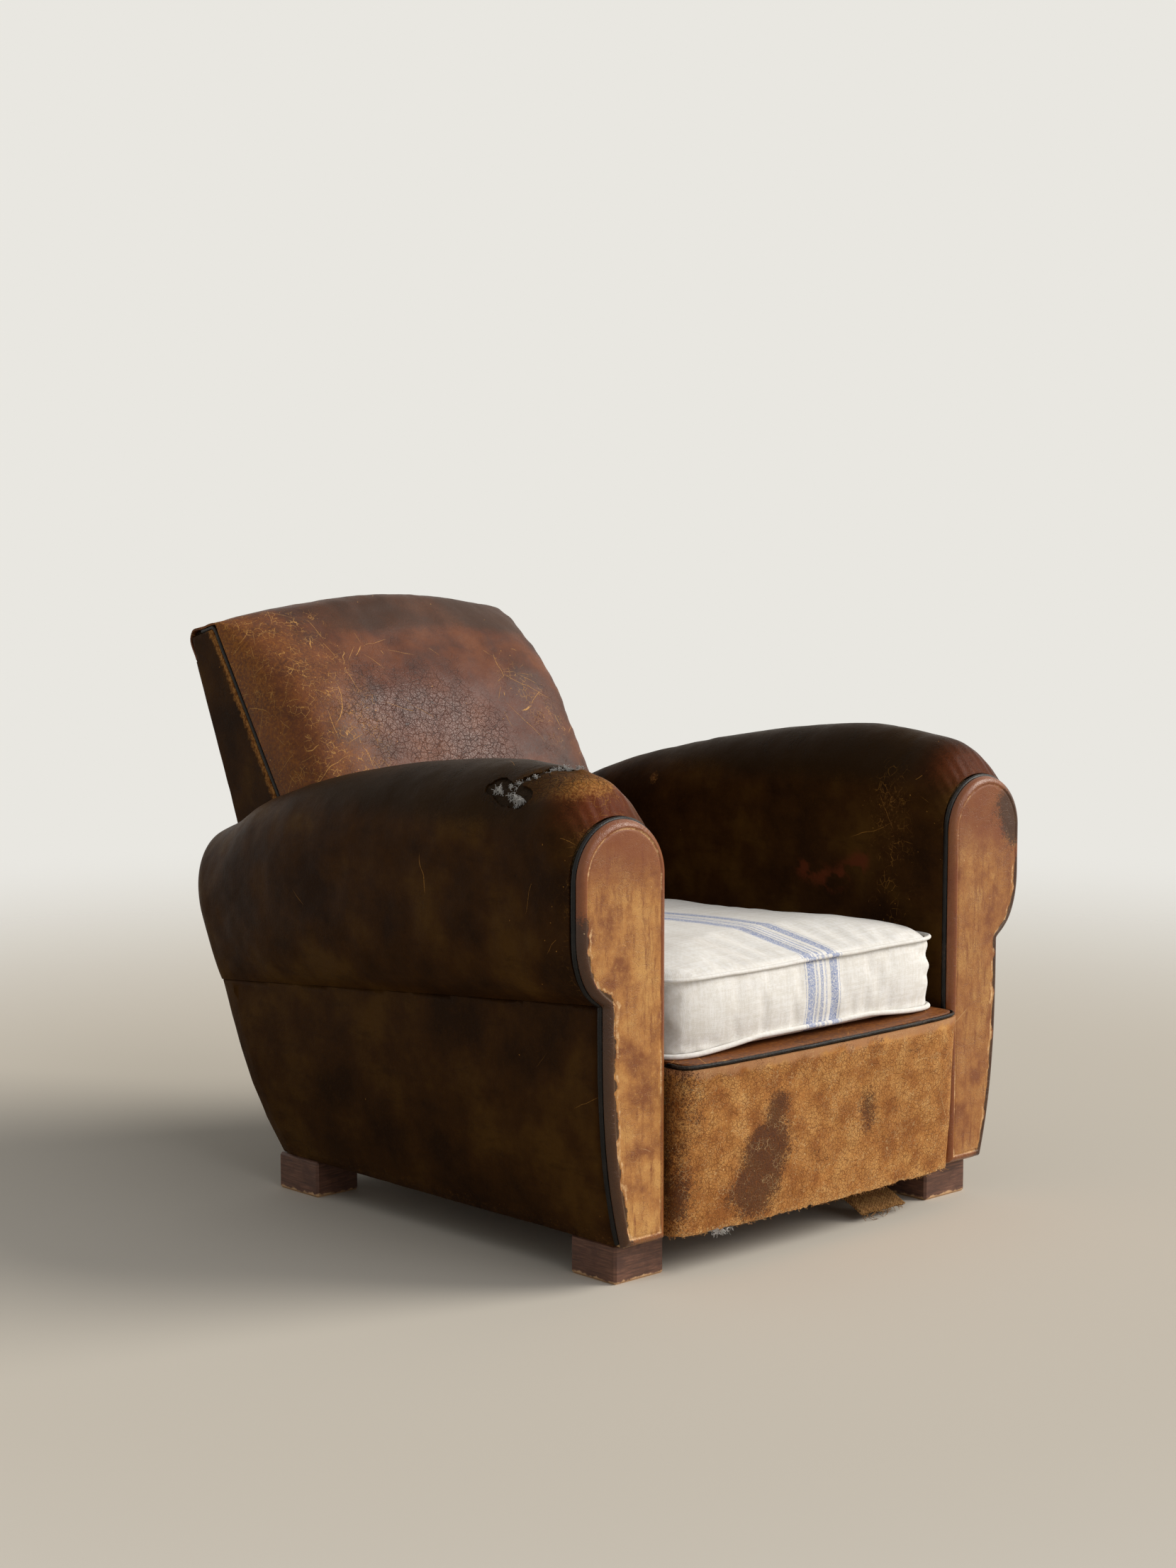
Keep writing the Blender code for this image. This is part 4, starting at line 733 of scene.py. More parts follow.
def armPiece(side, name):
    grid = mirrored(armGrid(), side)
    normal = surfaceNormals(grid)
    fade = edgeFade(grid, 0.03)
    ahead = grid[..., 1] - grid[0:1, :, 1]
    run = np.cumsum(np.linalg.norm(np.diff(grid[0], axis=0, prepend=grid[0][:1]), axis=1))
    phase = 2 * math.pi * run / armLook["puckerEvery"] + 2.2 * softNoise(grid[0], 0.05, 9)
    pucker = np.sin(phase)[None, :] * np.exp(-ahead / armLook["puckerReach"]) * blendStep(0, 0.006, ahead)
    grid = dented(grid, armLook["lump"], armLook["dent"], 21 + side, fade)
    grid = grid + normal * (armLook["pucker"] * pucker)[..., None]
    keep = None
    z = grid[..., 2]
    front = np.exp(-ahead / 0.05)
    fields = {
        "rub": 0.25 * np.exp(-ahead / 0.012) * blendStep(0.40, 0.5, z),
        "ruddy": 0.75 * front * blendStep(0.53, 0.60, z),
        "scored": 0.5 * front * blendStep(0.38, 0.47, z) * (grid[..., 0] * side < 0.36),
        "stainAndShade": 0.75 * blendStep(0.50, 0.60, z) * (1 - front),
        "crazed": 0.5 * blendStep(0.56, 0.62, z),
        "polish": 0.8 * front * blendStep(0.50, 0.58, z) + 0.3 * blendStep(0.57, 0.62, z),
    }
    if side < 0:
        wobble = roughNoise(grid, 0.012, 40)
        tear = nearLine(grid, tearLine, 0.027) - 0.36 + 0.26 * wobble
        slit = nearLine(grid, slitLine, 0.013) - 0.50 + 0.30 * wobble
        field = np.maximum(tear, slit)
        gone = field > 0
        cellGone = (gone[:-1, :-1].astype(int) + gone[1:, :-1] + gone[:-1, 1:] + gone[1:, 1:]) >= 3
        keep = ~cellGone
        # the vertices on the tear's edge move onto the line where the field is zero
        slope = np.stack(np.gradient(field), -1)
        size = (slope**2).sum(-1) + 1e-9
        stepRow = np.clip(-field * slope[..., 0] / size, -0.7, 0.7)
        stepColumn = np.clip(-field * slope[..., 1] / size, -0.7, 0.7)
        edge = cornersOf(cellGone) & cornersOf(keep)
        alongStep = np.gradient(grid, axis=0)
        acrossStep = np.gradient(grid, axis=1)
        grid = grid + edge[..., None] * (stepRow[..., None] * alongStep + stepColumn[..., None] * acrossStep)
        near = np.maximum(nearLine(grid, tearLine, 0.045), nearLine(grid, slitLine, 0.030))
        lift = 0.0035 * nearLine(grid, slitLine, 0.022) * blendStep(-0.2, 0.6, softNoise(grid, 0.02, 4))
        grid = grid + normal * lift[..., None]
        tan = nearLine(grid, [(-0.378, -0.360, 0.612), (-0.362, -0.402, 0.610), (-0.338, -0.41, 0.62)], 0.056)
        patch = nearLine(grid, [(-0.362, -0.402, 0.612), (-0.335, -0.43, 0.60), (-0.349, -0.442, 0.586)],
                         0.075)
        atLeast(fields, "rub", np.maximum(tan * 1.25, 0.35 * near))
        atLeast(fields, "crazed", np.maximum(1.2 * near, 1.3 * tan))
        atLeast(fields, "ruddy", patch)
        atLeast(fields, "scored", 0.9 * patch)
        atLeast(fields, "scored", 0.6 * front * (grid[..., 0] < -0.38))
    else:
        red = nearLine(grid, [(innerX, -0.205, 0.430), (innerX, -0.262, 0.418), (innerX, -0.31, 0.452)],
                       0.030)
        red = red * blendStep(-0.3, 0.2, roughNoise(grid, 0.016, 44))
        golden = nearLine(grid, [(innerX, -0.36, 0.56), (innerX, -0.37, 0.40)], 0.085)
        atLeast(fields, "ruddy", 0.8 * red)
        atLeast(fields, "scored", 0.8 * golden)
        atLeast(fields, "rub", 0.30 * golden * blendStep(0.35, 0.55, z))
        atLeast(fields, "rub", 1.2 * nearLine(grid, [(0.285, 0.10, 0.53)], 0.02))
    piece = skinPiece(name, grid, hideThickness, hides["patinaHide"], "dark_brown_hide",
                      ["arm_cover_left" if side > 0 else "arm_cover_right"], fields, keep)
    return grid


nearArm = armPiece(-1, "armCoverNear")
armPiece(1, "armCoverFar")
print("arms made")


# The inner back: a full pad, pulled in at the piping down both sides
backStations = (  # height on the piping's line, turn onto the top, ahead, above, share arched
    (0.271, 0.0, 0.049, 0.000, 0.0), (0.330, 0.0, 0.084, 0.000, 0.0), (0.400, 0.0, 0.108, 0.000, 0.0),
    (0.500, 0.0, 0.108, 0.000, 0.0), (0.600, 0.0, 0.115, 0.000, 0.0), (0.680, 0.0, 0.112, 0.002, 0.0),
    (0.722, 0.0, 0.088, 0.010, 0.1), (0.750, 0.0, 0.063, 0.024, 0.4), (0.764, 0.33, 0.046, 0.031, 0.8),
    (0.764, 0.67, 0.036, 0.034, 1.0), (0.764, 1.0, 0.026, 0.034, 1.0))


def backProfile(share):
    flat = max(0.0, 1 - abs(share) ** 8) ** (1 / 3)
    arch = 1 - abs(share) ** 1.6
    edgeLift = 0.0062
    frontLean = Vector((-1.0, 0.636)).normalized()
    corner = Vector((backLineY(backTopZ), backTopZ))
    rearCorner = Vector((rearY(rearTopZ, 0.0033 + edgeLift * math.hypot(1, rearRake)), rearTopZ))
    topRun = (rearCorner - corner).normalized()
    topLean = Vector((-topRun.y, topRun.x))
    rearLean = Vector((1.0, -rearRake)).normalized()
    points = []
    for height, turn, aheadBy, above, arched in backStations:
        full = flat + (arch - flat) * arched
        edge = Vector((backLineY(height), height)) + edgeLift * frontLean.slerp(topLean, turn)
        points.append(edge + full * Vector((-aheadBy, above)))
    points.append(corner.lerp(rearCorner, 0.5) + edgeLift * topLean + arch * Vector((-0.013, 0.027)))
    points.append(rearCorner + edgeLift * topLean)
    points.append(rearCorner + edgeLift * rearLean)
    points.append(Vector((rearY(0.715, 0.0033), 0.715)))
    line = np.array([(p.x, p.y) for p in points])
    run = runOf(line)
    return between(np.column_stack([run, line]), np.linspace(0, run[-1], 150))


def backGrid():
    columns = []
    for turn in np.linspace(0, math.pi, 140):
        share = -math.cos(turn)
        share = 0.55 * share + 0.45 * (turn / math.pi * 2 - 1)
        line = backProfile(float(share))
        columns.append(np.column_stack([np.full(len(line), share * (backX - gap)), line]))
    return np.array(columns)[::-1]


back = backGrid()
backNormal = surfaceNormals(back)
fromSide = backX - np.abs(back[..., 0])
climbed = back[..., 2]
pinch = np.sin(2 * math.pi * climbed / 0.021 + 3 * softNoise(back, 0.06, 2)) * np.exp(-fromSide / 0.018)
pinch *= blendStep(0, 0.006, fromSide) * blendStep(0.30, 0.40, climbed)
crease = nearLine(back, [(-0.115, 0.255, 0.660), (-0.085, 0.235, 0.625), (-0.055, 0.215, 0.585)], 0.016)
fine = roughNoise(back, 0.016, 60)
worked = nearLine(back, [(-0.11, 0.25, 0.66), (0.00, 0.24, 0.63), (0.02, 0.22, 0.57)], 0.13)
back = dented(back, 0.0020, 0.0008, 31, edgeFade(back, 0.04))
shift = 0.0009 * pinch - 0.0012 * crease + 0.0006 * worked * fine
back = back + backNormal * shift[..., None]
golden = nearLine(back, [(-0.262, 0.40, 0.755), (-0.23, 0.36, 0.73), (-0.20, 0.28, 0.62),
                         (-0.22, 0.24, 0.55)], 0.18)
goldenTop = nearLine(back, [(-0.25, 0.41, 0.765), (-0.15, 0.38, 0.775)], 0.05)
rightFlecks = nearLine(back, [(0.16, 0.27, 0.68), (0.20, 0.23, 0.60)], 0.08)
onTop = blendStep(0.725, 0.765, climbed)
backFields = {
    "rub": np.maximum(0.46 * golden, 0.32 * goldenTop) + 0.22 * blendStep(0.015, 0.0, fromSide),
    "stainAndShade": 0.55 * onTop * blendStep(-0.24, -0.1, back[..., 0]) + 0.40 * blendStep(0.08, 0.26, back[..., 0]),
    "ruddy": 0.45 * nearLine(back, [(-0.06, 0.25, 0.65), (0.05, 0.25, 0.64), (0.10, 0.25, 0.62)], 0.20),
    "scored": np.maximum(np.maximum(golden, goldenTop), 0.75 * rightFlecks),
    "crazed": 1.3 * worked + 0.25,
    "polish": 1.15 * worked,
}
backPiece = skinPiece("backCover", back, hideThickness, hides["saddleHide"], "brown_hide", ["back_cover"],
                      backFields)
print("back made")


# Arm fronts: hide over a board, with a rounded rim and a worn line just inside it
panelX, panelTopZ, panelLowZ, notchZ = 0.4145, 0.576, 0.0515, 0.352
boardDepth = 0.010


def sideX(z):
    return seamX - 0.030 * np.clip((notchZ - z) / (notchZ - panelLowZ), 0, 1) ** 3


def panelOutline(steps=40):
    radius = (panelX - innerX) / 2
    middleX, shoulderZ = innerX + radius, panelTopZ - radius
    waistZ = seamFrontZ + (panelTopZ - seamFrontZ) * waistShare
    under = underRoll(panelX, waistZ, seamFrontZ, steps)
    low = np.linspace(notchZ, panelLowZ, 70)[1:]
    return np.vstack([
        np.linspace((innerX, panelLowZ), (innerX, shoulderZ), 90, endpoint=False),
        quarterTurn((middleX, shoulderZ), (innerX, shoulderZ), (middleX, panelTopZ), steps)[:-1],
        quarterTurn((middleX, shoulderZ), (middleX, panelTopZ), (panelX, shoulderZ), steps)[:-1],
        np.linspace((panelX, shoulderZ), (panelX, waistZ), 20, endpoint=False), under,
        np.column_stack([sideX(low), low])])


outline = panelOutline()
topIndex = int(np.argmax(outline[:, 1]))
innerEdge, outerEdge = outline[:topIndex + 1], outline[topIndex:][::-1]
rimProfile = (  # distance inside the edge, depth behind the face
    (0.0, 0.0085), (0.0006, 0.0062), (0.0017, 0.0042), (0.0034, 0.0024), (0.0055, 0.0011), (0.0078, 0.0003),
    (0.0092, 0.0004), (0.0102, 0.0014), (0.0112, 0.0016), (0.0125, 0.0006), (0.030, 0.0004), (0.080, 0.0002))


def frontGrid():
    radius = (panelX - innerX) / 2
    shoulderZ = panelTopZ - radius
    heights = np.concatenate([np.linspace(panelLowZ, 0.0665, 12, endpoint=False),
                              np.linspace(0.0665, shoulderZ, 150, endpoint=False),
                              shoulderZ + radius * np.sin(np.linspace(0, math.radians(89), 56))])
    fromEdge = np.concatenate([np.linspace(0, 0.02, 16), np.linspace(0.024, 0.047, 8)])
    rows = []
    for z in heights:
        low = np.interp(z, innerEdge[:, 1], innerEdge[:, 0])
        high = np.interp(z, outerEdge[:, 1], outerEdge[:, 0])
        half = (high - low) / 2
        across = fromEdge / fromEdge[-1] * min(half * 0.96, 0.047)
        xs = np.concatenate([low + across, (high - across)[::-1]])
        rows.append(np.column_stack([xs, np.full(len(xs), z)]))
    return np.array(rows)


# a grid whose flat border is closed behind
def lidPiece(name, grid, material, slot, replaced, fields, sharp=60):
    rows, columns = grid.shape[:2]
    border = list(range(columns))
    border += [r * columns + columns - 1 for r in range(1, rows)]
    border += [(rows - 1) * columns + c for c in reversed(range(columns - 1))]
    border += [r * columns for r in reversed(range(1, rows - 1))]
    faces = gridFaces(rows, columns).tolist() + [border[::-1]]
    return meshPiece(name, grid, faces, material, slot, replaced, fields, sharp)


frontPlan = frontGrid()
closedOutline = np.vstack([outline, [outline[0]]])
frontInside = distanceTo(frontPlan, closedOutline)
rim = np.array(rimProfile)
frontDepth = np.interp(frontInside, rim[:, 0], rim[:, 1])


def armFront(side, name, node):
    plan = np.pad(frontPlan, ((1, 1), (1, 1), (0, 0)), mode="edge")
    inside = np.pad(frontInside, 1, mode="edge")
    depth = np.pad(frontDepth, 1, constant_values=boardDepth)
    grid = np.stack([plan[..., 0], facePlane + depth, plan[..., 1]], axis=-1)
    soft = blendStep(0.0, 0.02, inside)
    grid[..., 1] += soft * (0.0007 * roughNoise(grid, 0.07, 70 + side) + 0.0003
                            * roughNoise(grid, 0.02, 71 + side))
    z, x = grid[..., 2], grid[..., 0]
    outward = blendStep(0.30, 0.36, x) * blendStep(0.50, 0.42, z)
    torn = inside + 0.0035 * roughNoise(grid, 0.014, 75 + side)
    # painted shade: a dark strip on the rim of each arm front's outer side, below the head, where the rim
    # turns away from the light; it is carried in the stain field
    strip = blendStep(0.0125, 0.0095, torn) * outward
    head = blendStep(0.45, 0.56, z + 0.02 * roughNoise(grid, 0.05, 77))
    rimmed = blendStep(0.0108, 0.0088, inside)
    groove = 0.75 * blendStep(0.0022, 0.0006, np.abs(inside - 0.0105))
    groove = groove * blendStep(-0.5, 0.6, roughNoise(grid, 0.03, 79 + side))
    frayed = 0.9 * outward * blendStep(0.0028, 0.0006, np.abs(torn - 0.0145))
    frayed = frayed * blendStep(-0.5, 0.4, roughNoise(grid, 0.02, 78 + side))
    red = np.maximum(0.80 * head, 1.4 * rimmed * blendStep(0.30, 0.40, z))
    fields = {
        "ruddy": red + 0.5 * rimmed + (0.38 if side > 0 else 0.10),
        "rub": np.maximum(groove, frayed) + 0.3 * blendStep(0.03, 0.0, z - 0.05),
        "stainAndShade": 1.1 * strip,
        "scored": np.full(z.shape, 0.08),
        "crazed": np.full(z.shape, 0.5),
        "polish": rimmed,
    }
    if side > 0:
        smudge = nearLine(grid, [(0.385, facePlane, 0.535), (0.40, facePlane, 0.50)], 0.05)
        atLeast(fields, "stainAndShade", 0.8 * smudge)
    else:
        grid = grid[:, ::-1] * np.array([-1, 1, 1])
        fields = {key: value[:, ::-1] for key, value in fields.items()}
    return lidPiece(name, grid, hides["honeyHide"], "worn_tan_hide", [node], fields)


armFront(-1, "armFrontNear", "arm_front_right")
armFront(1, "armFrontFar", "arm_front_left")

routeLine = offsetLine(outline, 0.0005)
routeLine[0, 1] = footZ
routeLine = routeLine[routeLine[:, 1] > 0.052]
inBoard = np.arange(len(routeLine)) < np.argmax(routeLine[:, 1])
routeLine = routeLine[~(inBoard & (routeLine[:, 1] < footZ))]
for side, name, node in ((-1, "armPipingNear", "arm_piping_right"), (1, "armPipingFar", "arm_piping_left")):
    y = setback(boardDepth + gap + 0.004)
    path = np.column_stack([side * routeLine[:, 0], np.full(len(routeLine), y), routeLine[:, 1]])
    path = path + wander(path, 0.0004, 0.03, 80)
    r = 0.0035 + 0.0002 * softNoise(path, 0.008, 84)
    wear = {"rub": np.repeat(0.14 + 0.30 * softNoise(path, 0.05, 85 + side), 12),
            "crazed": np.full(len(path) * 12, 0.5)}
    tubesPiece(name, [path], r, 12, hides["cordHide"], "black_piping", [node], fields=wear)
print("arm fronts made")


# Piping down the back's sides
for side, name, node in ((-1, "backPipingNear", "back_piping_right"),
                         (1, "backPipingFar", "back_piping_left")):
    cordX = backX - gap - 0.003
    corner = np.array([backLineY(backTopZ), backTopZ])
    rearEnd = np.array([rearY(rearTopZ, 0.0075), rearTopZ])
    line = [(backLineY(z), z) for z in np.linspace(0.400, 0.757, 24)]
    line += [tuple(corner + (rearEnd - corner) * s) for s in (0.05, 0.2, 0.4, 0.55)]
    path = smoothLine([(side * cordX, y, z) for y, z in line], 160)
    path = path + wander(path, 0.0003, 0.03, 90)
    wear = {"rub": np.repeat(0.12 + 0.3 * softNoise(path, 0.04, 95 + side), 10)}
    tubesPiece(name, [path], 0.003, 10, hides["cordHide"], "black_piping", [node], fields=wear)


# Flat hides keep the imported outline, cut into small cells and dented
def softened(name, node, cell, lump, material, fieldsOf=None):
    shape = bmesh.new()
    shape.from_mesh(nodes[node].data)
    bmesh.ops.remove_doubles(shape, verts=shape.verts, dist=1e-6)
    low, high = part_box(node)
    for axis in range(3):
        count = int((high[axis] - low[axis]) / cell)
        direction = Vector([float(axis == k) for k in range(3)])
        for step in range(1, count + 1):
            place = low + direction * step * (high[axis] - low[axis]) / (count + 1)
            geometry = shape.verts[:] + shape.edges[:] + shape.faces[:]
            bmesh.ops.bisect_plane(shape, geom=geometry, dist=1e-6, plane_co=place, plane_no=direction)
    shape.normal_update()
    points = np.array([v.co[:] for v in shape.verts])
    normals = np.array([v.normal[:] for v in shape.verts])
    depth = lump * roughNoise(points, 0.09, 50 + len(name)) + 0.35 * lump * roughNoise(points, 0.02,
                                                                                       51 + len(name))
    for v, p in zip(shape.verts, points + normals * depth[:, None]):
        v.co = p
    mesh = bpy.data.meshes.new(name)
    shape.to_mesh(mesh)
    shape.free()
    piece = dressPiece(name, mesh, material, [node], fieldsOf(points) if fieldsOf else {})
    return piece


def facingFields(p):  # its front edge has worn to the tan beside the piping
    ahead = p[:, 1] - np.array([backLineY(z) for z in p[:, 2]])
    strip = blendStep(0.018, 0.008, ahead + 0.002 * roughNoise(p, 0.02, 3))
    top = blendStep(0.735, 0.76, p[:, 2])
    return {"rub": 0.95 * strip + 0.3 * top, "scored": 0.4 * strip + 0.4 * top,
            "crazed": 0.3 * np.ones(len(p))}


def sideFields(p):
    low = blendStep(0.10, 0.05, p[:, 2])
    return {"rub": 0.25 * low, "crazed": 0.4 * low}


for which, node in (("Near", "right"), ("Far", "left")):
    softened("sidePanel" + which, "side_panel_" + node, 0.012, 0.0007, hides["patinaHide"],
             sideFields)
    softened("backFacing" + which, "back_facing_" + node, 0.008, 0.0005, hides["patinaHide"],
             facingFields)
softened("outsideBack", "outside_back", 0.016, 0.0006, hides["patinaHide"], sideFields)
softened("deckCover", "deck_cover", 0.012, 0.0005, hides["saddleHide"],
         lambda p: {"rub": 0.48 * np.ones(len(p)), "scored": 0.4 * np.ones(len(p))})
print("flat hides made")


# Webbing and hessian keep their packed run, slightly uneven as woven jute is
for direction in ("long", "cross"):
    for number in "123":
        softened(direction + "Webbing" + number, direction + "_webbing_" + number, 0.011, 0.0003,
                 juteWebbing)
for name, node, flat, under in (
        ("springHessian", "spring_hessian", (0.60, 0.70), ["seat_spring_" + n for n in "123456789"]),
        ("backHessian", "back_hessian", (0.531, 0.608), ["back_post_left", "back_post_right"])):
    sheet = softened(name, node, 0.02, 0.0004, hessianCloth)
print("jute made")


# The seat's front: suede worn through its grain, over a hair pad, its lower edge frayed
apronX, apronLowZ, apronHighZ, cordZ, apronThick = 0.262, 0.052, 0.2617, 0.268, 0.0215


def seatPlan(count):
    turn = np.linspace(0, math.pi, 6001)[1:-1]
    across = np.sign(-np.cos(turn)) * np.abs(np.cos(turn)) ** 0.25
    out = np.sin(turn) ** 0.25
    across, out = np.concatenate([[-1], across, [1]]), np.concatenate([[0], out, [0]])
    run = np.concatenate([[0], np.cumsum(np.hypot(np.diff(across) * apronX, np.diff(out) * 0.04))])
    even = np.linspace(0, run[-1], count)
    return np.column_stack([np.interp(even, run, across), np.interp(even, run, out)])


def seatFront(plan, z, sunk=0.0):
    x = plan[:, 0] * (apronX - sunk)
    climb = (z - apronLowZ) / (cordZ - apronLowZ)
    proud = 0.012 + 0.017 * climb + 0.006 * (1 - plan[:, 0] ** 2)
    y = setback(apronThick) - plan[:, 1] * (apronThick + proud - sunk)
    return np.column_stack([x, y, np.full(len(x), z)])


plan = seatPlan(190)
apron = np.array([seatFront(plan, z) for z in np.linspace(apronLowZ, apronHighZ, 76)])
apronUp = (apron[..., 2] - apronLowZ) / 0.2097
ragged = 0.0022 * roughNoise(apron, 0.018, 101) + 0.0012 * roughNoise(apron, 0.005, 102)
apron[..., 2] += np.maximum(ragged, -0.0004) * blendStep(0.10, 0.0, apronUp)
apronNormal = surfaceNormals(apron)
bandSeam = np.abs(apron[..., 2] - 0.2515)
apron = dented(apron, 0.0022, 0.0008, 104, edgeFade(apron, 0.025))
apron = apron - apronNormal * (0.00048 * blendStep(0.004, 0.0, bandSeam))[..., None]
apronY = -0.5  # about where the seat's front stands
blot = roughNoise(apron, 0.035, 108)
darkPatch = nearLine(apron, [(-0.112, apronY, 0.145), (-0.120, apronY, 0.120), (-0.135, apronY, 0.095)],
                     0.066) + 0.22 * blot
for line, share in (([(-0.102, apronY, 0.200), (-0.115, apronY, 0.150)], 0.70),
                    ([(-0.165, apronY, 0.10), (-0.175, apronY, 0.09)], 0.50)):
    darkPatch = np.maximum(darkPatch, share * nearLine(apron, line, 0.04) + 0.15 * blot)
faint = nearLine(apron, [(0.070, apronY, 0.175), (0.075, apronY, 0.150)], 0.040)
leftEdge = blendStep(-0.215, -apronX, apron[..., 0])
apronFields = {
    "stainAndShade": np.maximum(1.35 * darkPatch, 0.62 * faint) + 0.42 * leftEdge,
    "rub": 0.6 * blendStep(0.05, 0.0, apronUp) + 0.25 * blendStep(0.2, apronX, apron[..., 0]),
    "ruddy": 0.8 * blendStep(0.91, 0.99, apronUp + 0.03 * roughNoise(apron, 0.014, 107))
    + 0.35 * nearLine(apron, [(-0.12, apronY, 0.15)], 0.10),
    "scored": np.full(apronUp.shape, 0.5),
    "crazed": 1.1 - 0.9 * blendStep(0.93, 0.96, apronUp),
    "polish": 0.8 * blendStep(0.93, 0.97, apronUp),
}
apronPiece = skinPiece("seatFront", apron, hideThickness, hides["suedeHide"], "worn_tan_hide",
                       ["front_cover"],
                       apronFields)

pipingLine = seatFront(plan[3:-3], cordZ, 0.0025) - np.array([0, 0, 0.0025])
pipingLine = pipingLine + wander(pipingLine, 0.0006, 0.02, 110)
wear = {"rub": np.repeat(0.26 + 0.4 * softNoise(pipingLine, 0.02, 113), 10),
        "crazed": np.full(len(pipingLine) * 10, 1.0)}
pipingRadius = 0.0024 + 0.0003 * softNoise(pipingLine, 0.009, 114)
tubesPiece("frontPiping", [pipingLine], pipingRadius, 10, hides["cordHide"], "black_piping", ["front_piping"],
           fields=wear)

# frayed threads along the seat front's lower edge, and the wadding that shows in one place
threads = []
for _ in range(230):
    index = int(rng.integers(4, len(plan) - 4))
    root = apron[0, index] + np.array([rng.normal(0, 0.001), 0.0015, 0.001])
    length = rng.uniform(0.002, 0.007)
    bend = np.array([rng.normal(0, 0.5), rng.normal(-0.15, 0.3), -0.8])
    steps = np.linspace(0, 1, 5)[:, None]
    curl = np.array([rng.normal(0, 0.6), rng.normal(0, 0.4), 0.3])
    threads.append(root + length * (steps * bend + steps**2 * curl * 0.5))
tubesPiece("frayedHem", threads, 0.00022, 3, hides["honeyHide"], "worn_tan_hide")


def tuft(centre, spread, count, length, seed, droop=0.3):  # loose wadding: strands in clots round a place
    local = np.random.default_rng(seed)
    strands = []
    for _ in range(max(1, count // 12)):
        clot = np.array(centre) + local.normal(0, 1, 3) * spread
        lean = local.normal(0, 1, 3)
        for _ in range(12):
            line = [clot + local.normal(0, 0.0009, 3)]
            heading = lean + 0.9 * local.normal(0, 1, 3)
            for _ in range(7):
                heading = heading + 0.65 * local.normal(0, 1, 3) + np.array([0, 0, -droop])
                heading /= np.linalg.norm(heading)
                line.append(line[-1] + heading * length * local.uniform(0.6, 1.1) / 7)
            strands.append(np.array(line))
    return strands


hemTufts = tuft((-0.199, -0.489, 0.051), (0.006, 0.003, 0.001), 60, 0.010, 5)
hemTufts += tuft((-0.176, -0.491, 0.051), (0.009, 0.003, 0.001), 48, 0.008, 6)
hemTufts = [np.maximum(s, [-9, -9, 0.041]) for s in hemTufts]
tubesPiece("hemWadding", hemTufts, 0.0003, 3, cottonWadding, "curled_hair")
print("seat front made")


# The tear's inside: torn cotton wadding over the hair, and lifted edges of hide
def tearInside():
    grid = nearArm
    near = np.maximum(nearLine(grid, tearLine, 0.036), nearLine(grid, slitLine, 0.020))
    rows = np.where(near.max(1) > 0.05)[0]
    columns = np.where(near.max(0) > 0.05)[0]
    patch = grid[rows[0]:rows[-1] + 1, columns[0]:columns[-1] + 1]
    inset = near[rows[0]:rows[-1] + 1, columns[0]:columns[-1] + 1]
    normal = surfaceNormals(patch)
    sunk = -0.0042 + 0.0016 * roughNoise(patch, 0.009, 120) + 0.0022 * nearLine(patch, slitLine, 0.014)
    patch = patch + normal * sunk[..., None]
    cells = inset[:-1, :-1] > 0.10
    skinPiece("tearPadding", patch, 0.002, curledHair, "curled_hair", (), None, cells)


tearInside()
wisps = tuft((-0.397, -0.309, 0.604), (0.002, 0.004, 0.002), 72, 0.009, 8, 0.1)
wisps += tuft((-0.402, -0.350, 0.593), (0.002, 0.004, 0.003), 120, 0.011, 9, 0.6)
wisps += tuft((-0.398, -0.330, 0.598), (0.002, 0.006, 0.002), 36, 0.008, 10, 0.3)
for k, place in enumerate(smoothLine(slitLine, 9)):
    wisps += tuft(place + np.array([0, 0, 0.0005]), (0.002, 0.004, 0.0006), 36, 0.0065, 130 + k, 0.1)
tubesPiece("tearWadding", wisps, 0.00024, 3, cottonWadding, "curled_hair")


# The cushion: two panels and a border in linen, round a full pad, with welts sewn into both seams
cushionLook = {"grid": 0.0065, "pressure": 3.2, "frames": 16, "cap": 0.007, "shrunk": 0.0015}
cushionX, cushionY, cushionMiddle = 0.2605, 0.2705, setback(0.2755)  # half width, half depth, middle


def cushionRing(scale, z, out=0.0, lifted=0.0, fall=0.0, steps=400):
    angle = 2 * np.pi * (np.arange(steps) + 0.5) / steps
    across = np.sign(np.cos(angle)) * np.abs(np.cos(angle)) ** 0.19
    backward = np.sign(np.sin(angle)) * np.abs(np.sin(angle)) ** 0.19
    lift = lifted * np.maximum(0.0, -backward * scale) ** 3 * np.cos(across * np.pi / 2) ** 2
    x = across * (cushionX * scale + out)
    y = cushionMiddle + backward * (cushionY * scale + out)
    return np.column_stack([x, y, z + lift - fall * (1 + backward * scale) / 2])


topEdge, lowEdge = 0.367, 0.2718
cushionMesh = nodes["seat_cushion"].data.copy()
cushion = bpy.data.objects.new("seatCushion", cushionMesh)
scene.collection.objects.link(cushion)


def evaluatedMesh(piece):
    return bpy.data.meshes.new_from_object(piece.evaluated_get(bpy.context.evaluated_depsgraph_get()))


def applyModifier(piece, kind, **settings):
    modifier = piece.modifiers.new(kind.lower(), kind)
    for key, value in settings.items():
        setattr(modifier, key, value)
    bpy.context.view_layer.update()
    mesh = evaluatedMesh(piece)
    piece.modifiers.remove(modifier)
    piece.data = mesh


def meshValues(mesh, kind="co"):
    values = np.zeros(len(mesh.vertices) * 3)
    mesh.vertices.foreach_get(kind, values)
    return values.reshape(-1, 3)


def setPoints(mesh, points):
    mesh.vertices.foreach_set("co", np.ravel(points).astype(np.float32))
    mesh.update()


def topSeamZ(p):
    return topEdge - 0.022 * (1 + (p[:, 1] - cushionMiddle) / cushionY) / 2


